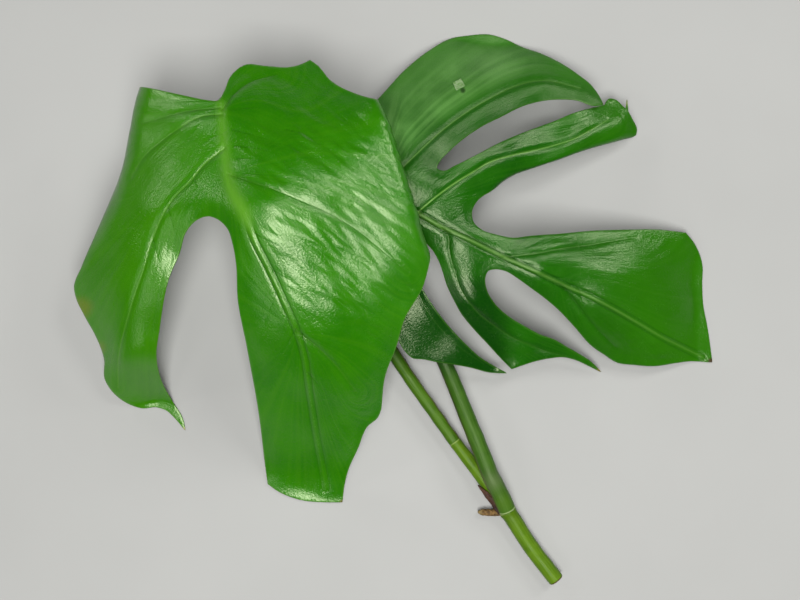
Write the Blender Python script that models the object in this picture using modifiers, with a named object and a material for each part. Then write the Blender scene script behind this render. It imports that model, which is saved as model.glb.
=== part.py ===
"""A cutting of a young monstera, lying on a flat surface: two leaves on one short piece of stem.

The front leaf stands over the rest like a tent and comes down on its left lobe and its tip.
The back leaf lies lower, to the right, with its edges and its end on the surface.
Everything is drawn in plan, in millimetres, as it shows from EYE_HEIGHT straight above the middle
of the sheet, and lifted to its height afterwards, so that each outline keeps its drawn shape.
"""

import math

import bmesh
import bpy
import numpy as np
from mathutils import Vector
from mathutils.geometry import delaunay_2d_cdt

# Sizes in millimetres
MM = 0.001
EYE_HEIGHT = 600.0
BBOX_CENTRE = (-0.4, -4.5)      # middle of the whole plant's plan, moved to the origin
TOUCH_GAP = 0.3                 # between pieces that meet
JOINT_GAP = 0.5                 # between a petiole's end and its leaf, measured along the leaf's normals

BLADE = 0.8                     # thickness of a leaf between its veins
RIB_DEPTH = 3.0                 # the midrib below the blade, at the petiole
RIB_HALF = 3.0                  # half its width there
RIB_LOSS = 0.75                 # share of both that is gone at the leaf's tip
VEIN_DEPTH = 0.9                # a side vein below the blade, at the midrib
VEIN_HALF = 1.4
VEIN_LOSS = 0.65
FURROW_DEPTH = 1.0              # along the midrib on top
VEIN_FURROW_DEPTH = 0.8         # along a side vein
FURROW_WIDTH = 1.8
PLATE_EASE = 8.0                # how freely a leaf's surface may pass beside its given heights

MESH_STEP = 4.8                 # spacing of the points in a blade
OUTLINE_STEP = 3.8              # and along its edge
FOLD_STEP = 2.64                # between the rows of points across a fold
ROW_CLEARANCE = 1.92            # a point of a row, and of the honeycomb, stays this far from the others
COMB_CLEARANCE = 3.0
LINE_STEP = 2.0                 # spacing of the points on a line that distances are measured to

FRONT_LEFT_R, FRONT_LEFT_TURN = 7.0, 2.3       # how tightly and how far each edge rolls under
FRONT_RIGHT_R, FRONT_RIGHT_TURN = 4.5, 2.6
BACK_EDGE_R, BACK_EDGE_TURN = 2.5, 2.1
WIDEST_STRIP = 25.0             # a strip past a fold reaches no further than this
BACK_EDGE_STRIP = 9.0

STEM_R = 3.9                    # below the lower node
NODE_R = 4.5                    # the lower node's ring
INTERNODE_R = (3.7, 3.3, 3.05)  # from the lower node to the upper one
COLLAR = [(-2.8, 4.0), (-1.35, 4.3), (0.0, NODE_R), (0.7, 4.0), (1.8, INTERNODE_R[0])]  # place, radius
FRONT_PETIOLE_R = (3.2, 3.1, 2.9)
BACK_PETIOLE_R = (4.4, 4.0, 3.6, 3.3, 3.1)
TUBE_STEP = 4.5                 # spacing of the rings along a stem or petiole
BEVEL_STEPS = 4                 # rounds a tube with twelve sides
TUBE_SIDES = 2 * BEVEL_STEPS + 4
JOINT_DROP = 1.6                # a petiole turns square to its leaf this far below the rib
JOINT_SINK = 0.6                # how far it runs into the rib before it is cut back
JOINT_REACH = 14.0              # size of the piece of leaf that cuts it

SHEATH_START = 1.6              # the dry sheath on the internode, from the lower node's ring
SHEATH_END = 19.0
SHEATH_T = 0.7
SHEATH_MIDDLE = 62.0            # its middle line and half its spread, in degrees from the top
SHEATH_SPREAD = 58.0
SHEATH_POINT = 0.07             # share of the spread that is left at its point
SHEATH_ROWS, SHEATH_COLUMNS = 9, 11
ROOT_R = (1.75, 1.6, 1.45, 0.9)
ROOT_STEP = 2.0


def on_surface(u, v, z):
    """A point drawn at (u, v) in plan and z high, moved in towards the eye's axis as its height asks."""
    near = 1.0 - np.asarray(z, float) / EYE_HEIGHT
    return np.stack([np.asarray(u) * near - BBOX_CENTRE[0], np.asarray(v) * near - BBOX_CENTRE[1],
                     np.broadcast_to(z, np.shape(u)).astype(float)], axis=-1)


def smooth(points, step):
    """A cubic through the points, each slope taken from both neighbours, cut into even steps."""
    p = np.array(points, float)
    chord = np.linalg.norm(np.diff(p, axis=0), axis=1)
    at = np.concatenate([[0.0], np.cumsum(chord)])
    slope = np.gradient(p, at, axis=0)
    fine = np.linspace(0.0, at[-1], 20 * len(p))
    k = np.clip(np.searchsorted(at, fine, side="right") - 1, 0, len(chord) - 1)
    span = chord[k][:, None]
    s = ((fine - at[k]) / chord[k])[:, None]
    curve = ((1 + 2 * s) * (1 - s) ** 2 * p[k] + s * (1 - s) ** 2 * span * slope[k]
             + s * s * (3 - 2 * s) * p[k + 1] + s * s * (s - 1) * span * slope[k + 1])
    run = np.concatenate([[0.0], np.cumsum(np.linalg.norm(np.diff(curve, axis=0), axis=1))])
    even = np.linspace(0.0, run[-1], max(1, round(run[-1] / step)) + 1)
    return np.stack([np.interp(even, run, curve[:, i]) for i in range(p.shape[1])], axis=1)


def closed_outline(strokes, step):
    """The strokes end to end as one loop. It is smooth along a stroke and has a corner between two."""
    return np.concatenate([smooth(stroke, step)[:-1] for stroke in strokes])


def inside(points, loop):
    """True where a ray from the point to the right crosses the loop an odd number of times."""
    a, b = loop, np.roll(loop, -1, axis=0)
    u, v = points[:, 0][:, None], points[:, 1][:, None]
    spans = (a[:, 1] > v) != (b[:, 1] > v)
    rise = np.where(b[:, 1] == a[:, 1], 1.0, b[:, 1] - a[:, 1])
    crossing = a[:, 0] + (v - a[:, 1]) * (b[:, 0] - a[:, 0]) / rise
    return (spans & (u < crossing)).sum(axis=1) % 2 == 1


def nearest(points, line):
    """For each point the nearest place on the line, the distance to it, and the line's direction."""
    a, run = line[:-1], np.diff(line, axis=0)
    rel = points[:, None, :] - a[None]
    share = np.clip((rel * run).sum(-1) / (run * run).sum(-1), 0.0, 1.0)
    foot = a + share[..., None] * run
    far = np.linalg.norm(points[:, None, :] - foot, axis=-1)
    k = far.argmin(axis=1)
    rows = np.arange(len(points))
    along = (k + share[rows, k]) / len(a)
    return foot[rows, k], far[rows, k], run[k] / np.linalg.norm(run[k], axis=1)[:, None], along


def thin_plate(spots):
    """The least bent surface through the spot heights: a plane plus r squared log r round each spot."""
    spots = np.array(spots, float)
    places, heights = spots[:, :2], spots[:, 2]

    def kernel(p):
        square = ((p[:, None, :] - places[None]) ** 2).sum(-1)
        return 0.5 * square * np.log(square + 1e-9)

    count = len(spots)
    plane = np.column_stack([np.ones(count), places])
    system = np.zeros((count + 3, count + 3))
    system[:count, :count] = kernel(places) + PLATE_EASE * np.eye(count)
    system[:count, count:] = plane
    system[count:, :count] = plane.T
    weights = np.linalg.solve(system, np.concatenate([heights, np.zeros(3)]))
    return lambda p: kernel(p) @ weights[:count] + weights[count] + p @ weights[count + 1:]


def fade(value, start, end):
    """Nought at start and one at end, with level ends."""
    s = np.clip((value - start) / (end - start), 0.0, 1.0)
    return s * s * (3.0 - 2.0 * s)


def roll_under(plan, line, radius, turn, widest):
    """Bend the strip to the left of the line downwards round the radius, by up to the turn in radians.

    Past the line a strip e wide reaches only r sin(e/r) outwards, and has dropped r (1 - cos(e/r)).
    """
    foot, far, run, _ = nearest(plan, smooth(line, 1.0))
    out = np.stack([-run[:, 1], run[:, 0]], axis=1)
    in_strip = (((plan - foot) * out).sum(axis=1) > 0.0) & (far < widest)
    past = np.where(in_strip, far, 0.0)
    angle = np.minimum(past / radius, turn)
    rest = past - radius * angle
    reach = radius * np.sin(angle) + rest * np.cos(angle)
    drop = radius * (1.0 - np.cos(angle)) + rest * np.sin(angle)
    moved = np.where((past > 0.0)[:, None], foot + out * reach[:, None], plan)
    return moved, drop


# The front leaf: its edge, clockwise from the corner at its upper left. The strip past each fold is
# drawn flat, as it would lie if it were folded out.
FRONT_EDGE = [
    [(-139, 108), (-126, 106), (-112, 103), (-97.5, 100), (-90.5, 99)],
    [(-90.5, 99), (-87.5, 105), (-84.5, 112), (-77.5, 117.5), (-67, 117), (-55, 116.5), (-49, 118),
     (-45, 120)],
    [(-45, 120), (-41.5, 117.5), (-34.5, 109.5), (-24.5, 104), (-15, 101), (-6, 100)],
    [(-6, 100), (1, 95), (9.5, 76.5), (16.5, 54), (18.5, 34), (16.5, 25), (14.5, 17.5)],
    [(14.5, 17.5), (11.5, 7), (2, -10), (-2, -23.5), (-7.5, -38), (-9.5, -55)],
    [(-9.5, -55), (-11, -58.5), (-16.5, -63.5), (-21, -74), (-26, -85), (-28, -92.5), (-29, -101)],
    [(-29, -101), (-36.5, -101), (-51, -99.5), (-61, -95.5), (-66, -92)],
    [(-66, -92), (-67, -85), (-70.5, -57), (-76.5, -23.5), (-81, 0), (-82, 19), (-83.5, 27.5),
     (-86.5, 36), (-90.5, 40), (-96, 42), (-102, 40), (-107, 34.5), (-110.5, 23.5), (-115.5, 11.5),
     (-120.5, -15), (-122, -28), (-119.5, -40.5), (-114, -51), (-109, -59), (-107.5, -65)],
    [(-107.5, -65), (-112, -59.5), (-117, -55), (-121.5, -53.5), (-129, -54), (-137.5, -51), (-144.5, -45),
     (-147.5, -40), (-148, -29.5), (-152, -18.5), (-158, -7.5), (-162, 1), (-163, 6), (-159, 17.5),
     (-153.5, 32), (-148, 50), (-144.5, 66.5), (-141.5, 86.5), (-139, 108)],
]

FRONT_MIDRIB = [(-89.5, 98), (-87.5, 75), (-84, 55), (-78, 43.5), (-73, 30), (-67, 18), (-58.5, 0),
                (-50.5, -18.5), (-47.5, -30), (-45, -47.5), (-41, -72), (-37, -94)]
FRONT_VEINS = [
    [(-89.3, 96.5), (-104.5, 95), (-116.5, 92), (-129, 88.5)],
    [(-89.1, 93), (-98, 92.5), (-109.5, 86.5), (-121.5, 78), (-129, 71), (-135, 61)],
    [(-87.6, 76), (-98.5, 67.5), (-105.5, 59), (-113, 51.5), (-119, 42), (-124, 30), (-128, 16.5),
     (-132.5, 3), (-135, -5), (-141, -30), (-141, -44)],
    [(-85.5, 63), (-78, 60.5), (-66, 56.5), (-53.5, 51.5), (-36.5, 44), (-19.5, 33.5), (-7.5, 23.5),
     (3.5, 14)],
    [(-50.5, -18.5), (-42.5, -19.5), (-35.5, -24.5), (-30, -30), (-20, -45)],
    [(-89, 95), (-83, 103), (-75, 109), (-62, 113)],
]

# Heights of its top face, as (u, v, z). Where they go below the surface it lies on, it lies flat.
FRONT_HEIGHTS = [
    (-90, 98.5, 61), (-78.5, 43.5, 79), (-85, 70, 71), (-50, 75, 71), (-50, 117, 42), (-66, 100, 58),
    (-82.5, 112, 50), (-45, 120, 38), (-25, 103, 52), (-14, 98.5, 60), (-4, 70, 66), (3, 45, 67),
    (10, 20, 62), (13.5, 18, 59), (2, -10, 53), (-5, -28, 45), (-9.5, -55, 27), (-20, -72, 18),
    (-30, 20, 70), (-55, -10, 66), (-35, -20, 60), (-50, -50, 37), (-25, -45, 42), (-46, -75, 15),
    (-48, -91, 1), (-61, -90, 0.5), (-32, -95, -1), (-46, -99, -5), (-60, -95, -3), (-70, -57, 27),
    (-79, -10, 58), (-82, 20, 70), (-90, 40, 72), (-102, 40, 65), (-106, 59, 66), (-119, 42, 61),
    (-110.5, 23.5, 56), (-128, 16.5, 54), (-135, -5, 44), (-120.5, -15, 40), (-122, -30, 30),
    (-140, -30, 27), (-118, -42, 14), (-133, -47, 7), (-112, -55, -1), (-121, -51, -1), (-109, -61, -4),
    (-129, -52, 1), (-142, -45, 10), (-149, -30, 15), (-162, 4, 24), (-152, 30, 38), (-140, 62, 47),
    (-128, 85, 54), (-126, 102, 51), (-108, 90, 61),
]

FRONT_LEFT_FOLD = [(-166, -4), (-162.5, 4), (-156, 16.5), (-147.3, 30.5), (-138.7, 47), (-132.5, 63),
                   (-128.5, 82), (-124, 102.5), (-120, 116)]
FRONT_RIGHT_FOLD = [(-17.5, 106), (-14.5, 98), (-11.5, 91.5), (-5, 72), (2.25, 49), (8, 30), (11.5, 20.5),
                    (15, 14), (21, 5)]

# The back leaf: its edge, clockwise from the base of its upper lobe
BACK_EDGE = [
    [(-16, 54), (-22, 56), (-28, 60), (-32, 68), (-30, 78), (-22, 90), (-10.5, 101), (3, 115.5),
     (15, 125), (25, 130.5), (34, 132), (45, 132.5), (52, 130.5), (61, 126.5), (71, 123), (82, 117.5),
     (90, 112), (95.5, 107.5), (98.5, 103), (100, 99.5)],
    [(100, 99.5), (95.5, 98.5), (89, 100), (80, 100.5), (70, 99.5), (61, 97), (51, 92), (41, 87),
     (32, 81), (24, 74), (19.5, 69), (18.3, 66), (21.5, 64.5), (27.5, 67), (38.5, 72.5), (52, 79.5),
     (63, 84), (76.5, 89), (87.5, 93.5), (96.5, 96), (102.5, 97.5)],
    [(102.5, 97.5), (104.5, 100.5), (108, 100), (111.5, 97)],
    [(111.5, 97), (114.3, 99.8), (114.5, 94)],
    [(114.5, 94), (116.5, 90), (118.5, 85), (118, 82.3)],
    [(118, 82.3), (113, 78.5), (106, 76), (92.5, 72.5), (80.5, 68), (68, 63.8), (57.5, 59.8), (50, 56.3),
     (44.3, 53.8), (39.2, 50.3), (36, 44.5), (36.5, 39.5), (41, 35), (48.5, 32.5), (56.5, 31),
     (65.5, 32), (80, 33), (96.5, 34.5), (113.5, 35), (130, 35), (143, 33.5)],
    [(143, 33.5), (147, 28.5), (149.5, 23.5), (151, 18), (151, 8), (151.5, -2.5), (153.5, -13), (155, -23),
     (156, -31)],
    [(156, -31), (145, -30.5), (137.5, -31.5), (127.5, -33), (118, -32.5), (108, -31), (102.5, -27.5),
     (96, -23), (87.5, -13.5), (80, -5.5), (72.5, 1), (65, 6.5), (59.5, 10.5), (53, 14.5), (47.5, 15.5),
     (44, 14.5), (42.5, 11), (43, 6), (45.5, 0.5), (49.5, -4.5), (55, -9), (62.5, -13.5), (70, -17.5),
     (77, -20), (83, -23.5), (89.5, -27.2), (95, -30.8), (100.5, -36)],
    [(100.5, -36), (94.5, -33), (90, -30.8), (86, -29.4), (81, -28.5), (75.5, -29), (68, -30.5),
     (61.5, -32.5), (55.8, -34.5)],
    [(55.8, -34.5), (50.8, -29.5), (44, -22), (36.5, -14), (30.5, -6.5), (27, 0), (23.5, 7.5), (21.5, 14),
     (19, 20.5), (15.5, 26), (11, 29.5), (7.5, 28), (6.5, 22), (8, 13), (10.5, 6.5), (16, -2.5), (21.5, -10),
     (28, -17.5), (34.5, -24), (40, -29), (46.5, -33), (53, -36.6)],
    [(53, -36.6), (44, -36), (36.5, -34), (29, -32.5), (19, -31), (11.5, -29.5), (6.5, -29), (3, -26),
     (-1, -19.5), (-10, -8), (-20, 7), (-27, 22), (-29, 36), (-26, 46), (-21, 51), (-16, 54)],
]

BACK_MIDRIB = [(-15.5, 53.5), (-4, 49), (8.5, 43.5), (22, 36), (34, 30.5), (52, 21.5), (68.5, 14), (83, 7),
               (96.5, 1), (107, -4.5), (120, -12), (131, -18.5), (142, -24), (151, -28.5)]
BACK_VEINS = [
    [(-14, 52.9), (1.5, 66.5), (13, 77.5), (22, 85.5), (32, 93), (45, 101), (56.5, 106.5), (72, 110),
     (90, 105.5)],
    [(8.5, 43.5), (18.5, 52), (27.5, 58.5), (36.5, 64), (45, 69), (56.5, 72.5), (70, 75.5), (85.5, 80),
     (104, 90)],
    [(52, 21.5), (65.5, 23), (80, 25.5), (96.5, 28), (118, 31.5)],
    [(20, 37.1), (24, 32), (24.5, 25), (27.5, 14), (30, 6.5), (34.5, -1), (40, -7.5), (48.5, -14),
     (68, -24), (88, -29.5)],
    [(72, 12.4), (80, 7.5), (86, 1), (97, -13), (108, -24)],
    [(-13, 52.5), (-3, 36), (5, 14), (14, -6), (28, -22), (42, -32)],
]

BACK_HEIGHTS = [
    (-15.5, 53.5, 41), (8.5, 43.5, 42), (34, 30.5, 41), (68.5, 14, 36), (100, 0, 27), (130, -18, 14),
    (146, -26, 2), (154, -29, -4), (-28, 60, 36), (-30, 76, 33), (-10.5, 101, 22), (3, 115.5, 12),
    (25, 130.5, 1), (45, 132.5, -5), (38, 131, -3), (62, 126, 3), (82, 117.5, 11), (98, 103, 17),
    (1.5, 66.5, 42), (22, 85.5, 38), (45, 101, 31), (72, 109, 22), (19, 69, 38), (41, 87, 33),
    (70, 99.5, 22), (18.5, 52, 42), (36.5, 64, 37), (57, 72.5, 31), (86, 80, 23), (110, 90, 14), (104, 100, 13),
    (118, 84, 8), (112, 77, 10), (60, 60, 25), (38, 45, 35), (52, 80, 30), (80, 90, 21), (57, 31, 35),
    (96, 34, 22), (130, 34, 11), (144, 33, 5), (150, 12, -2), (152.5, -10, -4), (118, 10, 22),
    (108, -31, 6), (96, -23, 13), (80, -5, 24), (60, 10, 33), (43, 12, 35), (46, 0, 31), (70, -17, 19),
    (98, -35, 4), (62, -32, 12), (56, -34, 13), (35, -2, 33), (28, 15, 37), (16, 25, 38), (5, 25, 35),
    (10.5, 6.5, 30), (25, -14, 22), (50, -34, 8), (30, -32, 15), (8, -29, 20), (-1, -19, 24),
    (-20, 7, 31), (-29, 36, 36),
]
BACK_EDGE_FOLD = [(123, 84.5), (114, 83.2), (105, 80.9), (91, 76.9), (79, 72.6), (66.5, 68.4), (55.5, 64.4),
                  (48.5, 59.8), (45, 56), (43.3, 52.5), (42.5, 47)]

# Where the tip of the back leaf's upper lobe lies over the corner of the next lobe
LAP_AT = (101.0, 98.2)
LAP_SHIFT = (1.7, -1.7)
LAP_RISE = 2.2
LAP_REACH = 15.0
LAP_LINE = [(18, 65.5), (52, 86.5), (80, 96.5), (98, 97.8), (101, 98.7), (110, 108)]


def taper_along(along):
    """The midrib's width along its length, as a share of its width at the petiole."""
    return 1.0 - RIB_LOSS * along


def vein_relief(plan, midrib, veins):
    """How far the top face sinks along the veins, and how far the ribs stand out below.

    A furrow is a bell curve across the vein, and a rib is half an ellipse.
    """
    _, far, _, along = nearest(plan, smooth(midrib, LINE_STEP))
    taper = taper_along(along)
    sink = FURROW_DEPTH * taper * np.exp(-(far / FURROW_WIDTH) ** 2)
    rib = RIB_DEPTH * taper ** 1.5 * np.sqrt(np.maximum(0.0, 1.0 - (far / (RIB_HALF * taper)) ** 2))
    for vein in veins:
        _, far, _, along = nearest(plan, smooth(vein, LINE_STEP))
        lessening = 1.0 - VEIN_LOSS * along
        sink = np.maximum(sink, VEIN_FURROW_DEPTH * lessening * np.exp(-(far / FURROW_WIDTH) ** 2))
        side_rib = np.sqrt(np.maximum(0.0, 1.0 - (far / VEIN_HALF) ** 2))
        rib = np.maximum(rib, VEIN_DEPTH * lessening * side_rib)
    return sink, rib


def front_surface(plan):
    """The front leaf's top face and its thickness at points of the flat drawing."""
    sink, rib = vein_relief(plan, FRONT_MIDRIB, FRONT_VEINS)
    seen, drop_left = roll_under(plan, FRONT_LEFT_FOLD, FRONT_LEFT_R, FRONT_LEFT_TURN, WIDEST_STRIP)
    seen, drop_right = roll_under(seen, FRONT_RIGHT_FOLD, FRONT_RIGHT_R, FRONT_RIGHT_TURN, WIDEST_STRIP)
    height = thin_plate(FRONT_HEIGHTS)(seen) - drop_left - drop_right - sink
    thickness = BLADE + rib
    return on_surface(seen[:, 0], seen[:, 1], np.maximum(height, thickness)), thickness


def back_surface(plan):
    """The back leaf's top face and its thickness at points of the flat drawing."""
    sink, rib = vein_relief(plan, BACK_MIDRIB, BACK_VEINS)
    seen, drop = roll_under(plan, BACK_EDGE_FOLD, BACK_EDGE_R, BACK_EDGE_TURN, BACK_EDGE_STRIP)
    height = thin_plate(BACK_HEIGHTS)(seen) - drop - sink
    foot, _, run, _ = nearest(plan, smooth(LAP_LINE, 1.0))
    above = ((plan - foot) * np.stack([-run[:, 1], run[:, 0]], axis=1)).sum(axis=1) > 0.0
    near = fade(np.linalg.norm(plan - LAP_AT, axis=1), LAP_REACH, 0.0)
    height = height + np.where(above, LAP_RISE, -LAP_RISE) * near
    seen = seen + np.where(above, near, 0.0)[:, None] * np.array(LAP_SHIFT)
    thickness = BLADE + rib
    return on_surface(seen[:, 0], seen[:, 1], np.maximum(height, thickness)), thickness


def beside(line, offset):
    """The line moved to its left by the offset, one number or one for each point."""
    run = np.gradient(line, axis=0)
    run /= np.linalg.norm(run, axis=1)[:, None]
    return line + np.stack([-run[:, 1], run[:, 0]], axis=1) * np.reshape(offset, (-1, 1))


def fold_rows(line, radius, turn):
    """Rows of points along a fold, so close that the roll stays round."""
    steps = round(radius * turn / FOLD_STEP)
    return [beside(smooth(line, MESH_STEP), radius * turn * k / steps) for k in range(steps + 1)]


def rib_rows(midrib):
    """A row of points along each side of the midrib, where its rib ends."""
    line = smooth(midrib, MESH_STEP)
    half = RIB_HALF * taper_along(np.linspace(0.0, 1.0, len(line)))
    return [beside(line, half), beside(line, -half)]


def blade_net(edge, midrib, veins, rows):
    """Points along the edge, the veins and the rows, with a honeycomb between, joined into triangles."""
    loop = closed_outline(edge, OUTLINE_STEP)
    points = [tuple(p) for p in loop]
    joins = [(k, (k + 1) % len(loop)) for k in range(len(loop))]
    ring = np.concatenate([loop, loop[:1]])
    for vein in [midrib, *veins]:
        line = smooth(vein, MESH_STEP)
        line = line[inside(line, loop) & (nearest(line, ring)[1] > ROW_CLEARANCE)]
        previous = None
        for place in line:
            gaps = np.linalg.norm(np.array(points) - place, axis=1)
            if gaps.min() < MESH_STEP / 2:
                index = int(gaps.argmin())
            else:
                index = len(points)
                points.append(tuple(place))
            if previous is not None and previous != index:
                joins.append((previous, index))
            previous = index
    for row in rows:
        row = row[inside(row, loop) & (nearest(row, ring)[1] > ROW_CLEARANCE)]
        for place in row:
            if np.linalg.norm(np.array(points) - place, axis=1).min() > ROW_CLEARANCE:
                points.append(tuple(place))
    low, high = loop.min(axis=0), loop.max(axis=0)
    ups = np.arange(low[1], high[1], MESH_STEP * math.sqrt(0.75))
    acrosses = np.arange(low[0], high[0], MESH_STEP)
    comb = np.array([(u + (k % 2) * MESH_STEP / 2, v) for k, v in enumerate(ups) for u in acrosses])
    comb = comb[inside(comb, loop)]
    comb = comb[nearest(comb, ring)[1] > COMB_CLEARANCE]
    kept = np.array(points)
    free = np.linalg.norm(comb[:, None, :] - kept[None], axis=-1).min(axis=1) > COMB_CLEARANCE
    points += [tuple(p) for p in comb[free]]
    net = delaunay_2d_cdt([Vector(p) for p in points], joins, [], 1, 1e-6)
    return np.array([tuple(v) for v in net[0]]), net[2]


def make_material(name, colour, roughness):
    material = bpy.data.materials.new(name)
    material.use_nodes = True
    shader = material.node_tree.nodes["Principled BSDF"]
    shader.inputs["Base Color"].default_value = (*colour, 1.0)
    shader.inputs["Roughness"].default_value = roughness
    shader.inputs["Metallic"].default_value = 0.0
    return material


def add_object(name, mesh, material, collection):
    thing = bpy.data.objects.new(name, mesh)
    thing.data.materials.append(material)
    collection.objects.link(thing)
    return thing


def make_leaf(name, net, surface, material, collection, spare=0.0):
    """An open sheet with a Solidify modifier, whose thickness follows a vertex group."""
    plan, faces = net
    places, thickness = surface(plan)
    mesh = bpy.data.meshes.new(name)
    mesh.from_pydata((places * MM).tolist(), [], faces)
    mesh.shade_smooth()
    leaf = add_object(name, mesh, material, collection)
    group = leaf.vertex_groups.new(name="thickness")
    depth = thickness + spare
    for index, share in enumerate(depth / depth.max()):
        group.add([index], float(share), "REPLACE")
    shell = leaf.modifiers.new("Thickness", "SOLIDIFY")
    shell.thickness = float(depth.max()) * MM
    shell.offset = -1.0
    shell.vertex_group = group.name
    shell.thickness_vertex_group = 0.0
    shell.use_even_offset = False
    return leaf


def make_joint_clearance(name, net, surface, joint, material, collection):
    """The piece of a leaf round its joint, thicker by the gap, to cut the petiole's end with."""
    plan, faces = net
    near = np.linalg.norm(plan - joint, axis=1) < JOINT_REACH
    kept = np.flatnonzero(near)
    index = {int(old): new for new, old in enumerate(kept)}
    round_joint = [[index[k] for k in face] for face in faces if near[list(face)].all()]
    piece = make_leaf(name, (plan[kept], round_joint), surface, material, collection, JOINT_GAP)
    piece.hide_render = True
    piece.display_type = "WIRE"
    return piece


def underside(surface, place):
    """The point under the leaf at a place of its drawing, below the rib, and the leaf's normal there."""
    around = np.array([place, (place[0] + LINE_STEP, place[1]), (place[0], place[1] - LINE_STEP)])
    top, thickness = surface(around)
    normal = np.cross(top[2] - top[0], top[1] - top[0])
    normal /= np.linalg.norm(normal)
    return top[0] - normal * thickness[0], normal


def make_tube(name, path, radii, material, collection, step=TUBE_STEP):
    """A curve with a round bevel through the points, whose radius runs evenly through the radii."""
    line = smooth(path, step)
    share = np.linspace(0.0, 1.0, len(line))
    radius = np.interp(share, np.linspace(0.0, 1.0, len(radii)), radii)
    return make_ringed_tube(name, line, radius, material, collection)


def make_ringed_tube(name, line, radius, material, collection):
    curve = bpy.data.curves.new(name, "CURVE")
    curve.dimensions = "3D"
    curve.bevel_depth = MM
    curve.bevel_resolution = BEVEL_STEPS
    curve.use_fill_caps = True
    curve.twist_mode = "MINIMUM"
    spline = curve.splines.new("POLY")
    spline.points.add(len(line) - 1)
    for point, place, size in zip(spline.points, line, radius):
        point.co = (*(place * MM), 1.0)
        point.radius = float(size)
    spline.use_smooth = True
    return add_object(name, curve, material, collection)


def as_mesh(thing):
    """The curve's evaluated mesh, with its material, in a new object. Its caps are welded to its side."""
    bpy.context.view_layer.update()
    shape = thing.evaluated_get(bpy.context.evaluated_depsgraph_get())
    mesh = bpy.data.meshes.new_from_object(shape)
    joined = bmesh.new()
    joined.from_mesh(mesh)
    bmesh.ops.remove_doubles(joined, verts=joined.verts, dist=1e-6)
    joined.to_mesh(mesh)
    joined.free()
    name, place, collection = thing.name, thing.matrix_world.copy(), thing.users_collection[0]
    bpy.data.objects.remove(thing)
    made = bpy.data.objects.new(name, mesh)
    made.matrix_world = place
    collection.objects.link(made)
    return made


def cut(thing, cutter):
    """Take the cutter's space out of the thing."""
    trim = thing.modifiers.new("Clearance", "BOOLEAN")
    trim.operation = "DIFFERENCE"
    trim.solver = "EXACT"
    trim.object = cutter


# The stem and the petioles, as (u, v, z) through the middle of each
CUT_END = (78.2, -140.0, 3.95)
STEM_MIDDLE = (65.0, -122.8, 4.3)
LOWER_NODE = (53.7, -105.4, 5.0)
UPPER_NODE = (27.3, -70.7, 5.2)
INTERNODE_MIDDLE = (40.5, -88.0, 5.1)
FRONT_PETIOLE_PATH = [(27.0, -70.3, 5.2), (16.5, -55.5, 5.9), (6.5, -41.4, 7.0), (-2.3, -28.2, 9.3),
                      (-14, -10, 14.0), (-25, 6, 20.5), (-50, 42, 36.0), (-70, 70, 47.0),
                      (-81, 86, 50.5), (-87.2, 94.6, 51.6)]
BACK_PETIOLE_PATH = [(53.5, -104.9, 6.2), (50.0, -97.0, 8.7), (45.4, -88.0, 10.9), (41.3, -77.5, 11.6),
                     (34.2, -60.0, 10.9), (22.4, -31.4, 10.4), (10, -6, 14.5), (0, 16, 22.0),
                     (-8.5, 36, 28.5), (-13.2, 48.5, 31.5)]
FRONT_JOINT = (-89.3, 96.2)     # where the petiole meets the rib below the front leaf
BACK_JOINT = (-14.6, 52.6)
ROOT_PATH = [(50.5, -106.0, 3.9), (46.5, -106.3, 3.4), (42.5, -106.2, 3.0), (39.6, -106.0, 2.8)]


def lifted(path):
    return on_surface(*np.array(path, float).T)


def length_along(line):
    """The distance from the line's start to each of its points."""
    return np.concatenate([[0.0], np.cumsum(np.linalg.norm(np.diff(line, axis=0), axis=1))])


def places_along(line, lengths):
    """The points of the line at the given distances from its start."""
    run = length_along(line)
    return np.stack([np.interp(lengths, run, line[:, i]) for i in range(3)], axis=1)


def petiole_to_leaf(path, surface, joint):
    """The path, ended square to the leaf, a little way into its rib, where it is cut off."""
    meet, normal = underside(surface, joint)
    return np.concatenate([lifted(path), [meet - normal * JOINT_DROP, meet + normal * JOINT_SINK]])


def stem_line():
    """The stem's axis from the cut end to the upper node, the radii, and the lower node's index."""
    axis = smooth(lifted([CUT_END, STEM_MIDDLE, LOWER_NODE, INTERNODE_MIDDLE, UPPER_NODE]), 1.0)
    run = length_along(axis)
    node = run[np.linalg.norm(axis - lifted([LOWER_NODE]), axis=1).argmin()]
    collar = np.array([place for place, _ in COLLAR]) + node
    lower = np.linspace(0.0, collar[0], round(collar[0] / TUBE_STEP) + 1)
    upper = np.linspace(collar[-1], run[-1], round((run[-1] - collar[-1]) / TUBE_STEP) + 1)
    lengths = np.concatenate([lower[:-1], collar, upper[1:]])
    middle = (node + run[-1]) / 2
    radius = np.interp(lengths, [0.0, lower[-2], *collar, middle, run[-1]],
                       [STEM_R, STEM_R, *(size for _, size in COLLAR), *INTERNODE_R[1:]])
    ring = int(np.abs(lengths - node).argmin())
    return places_along(axis, lengths), radius, ring


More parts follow.
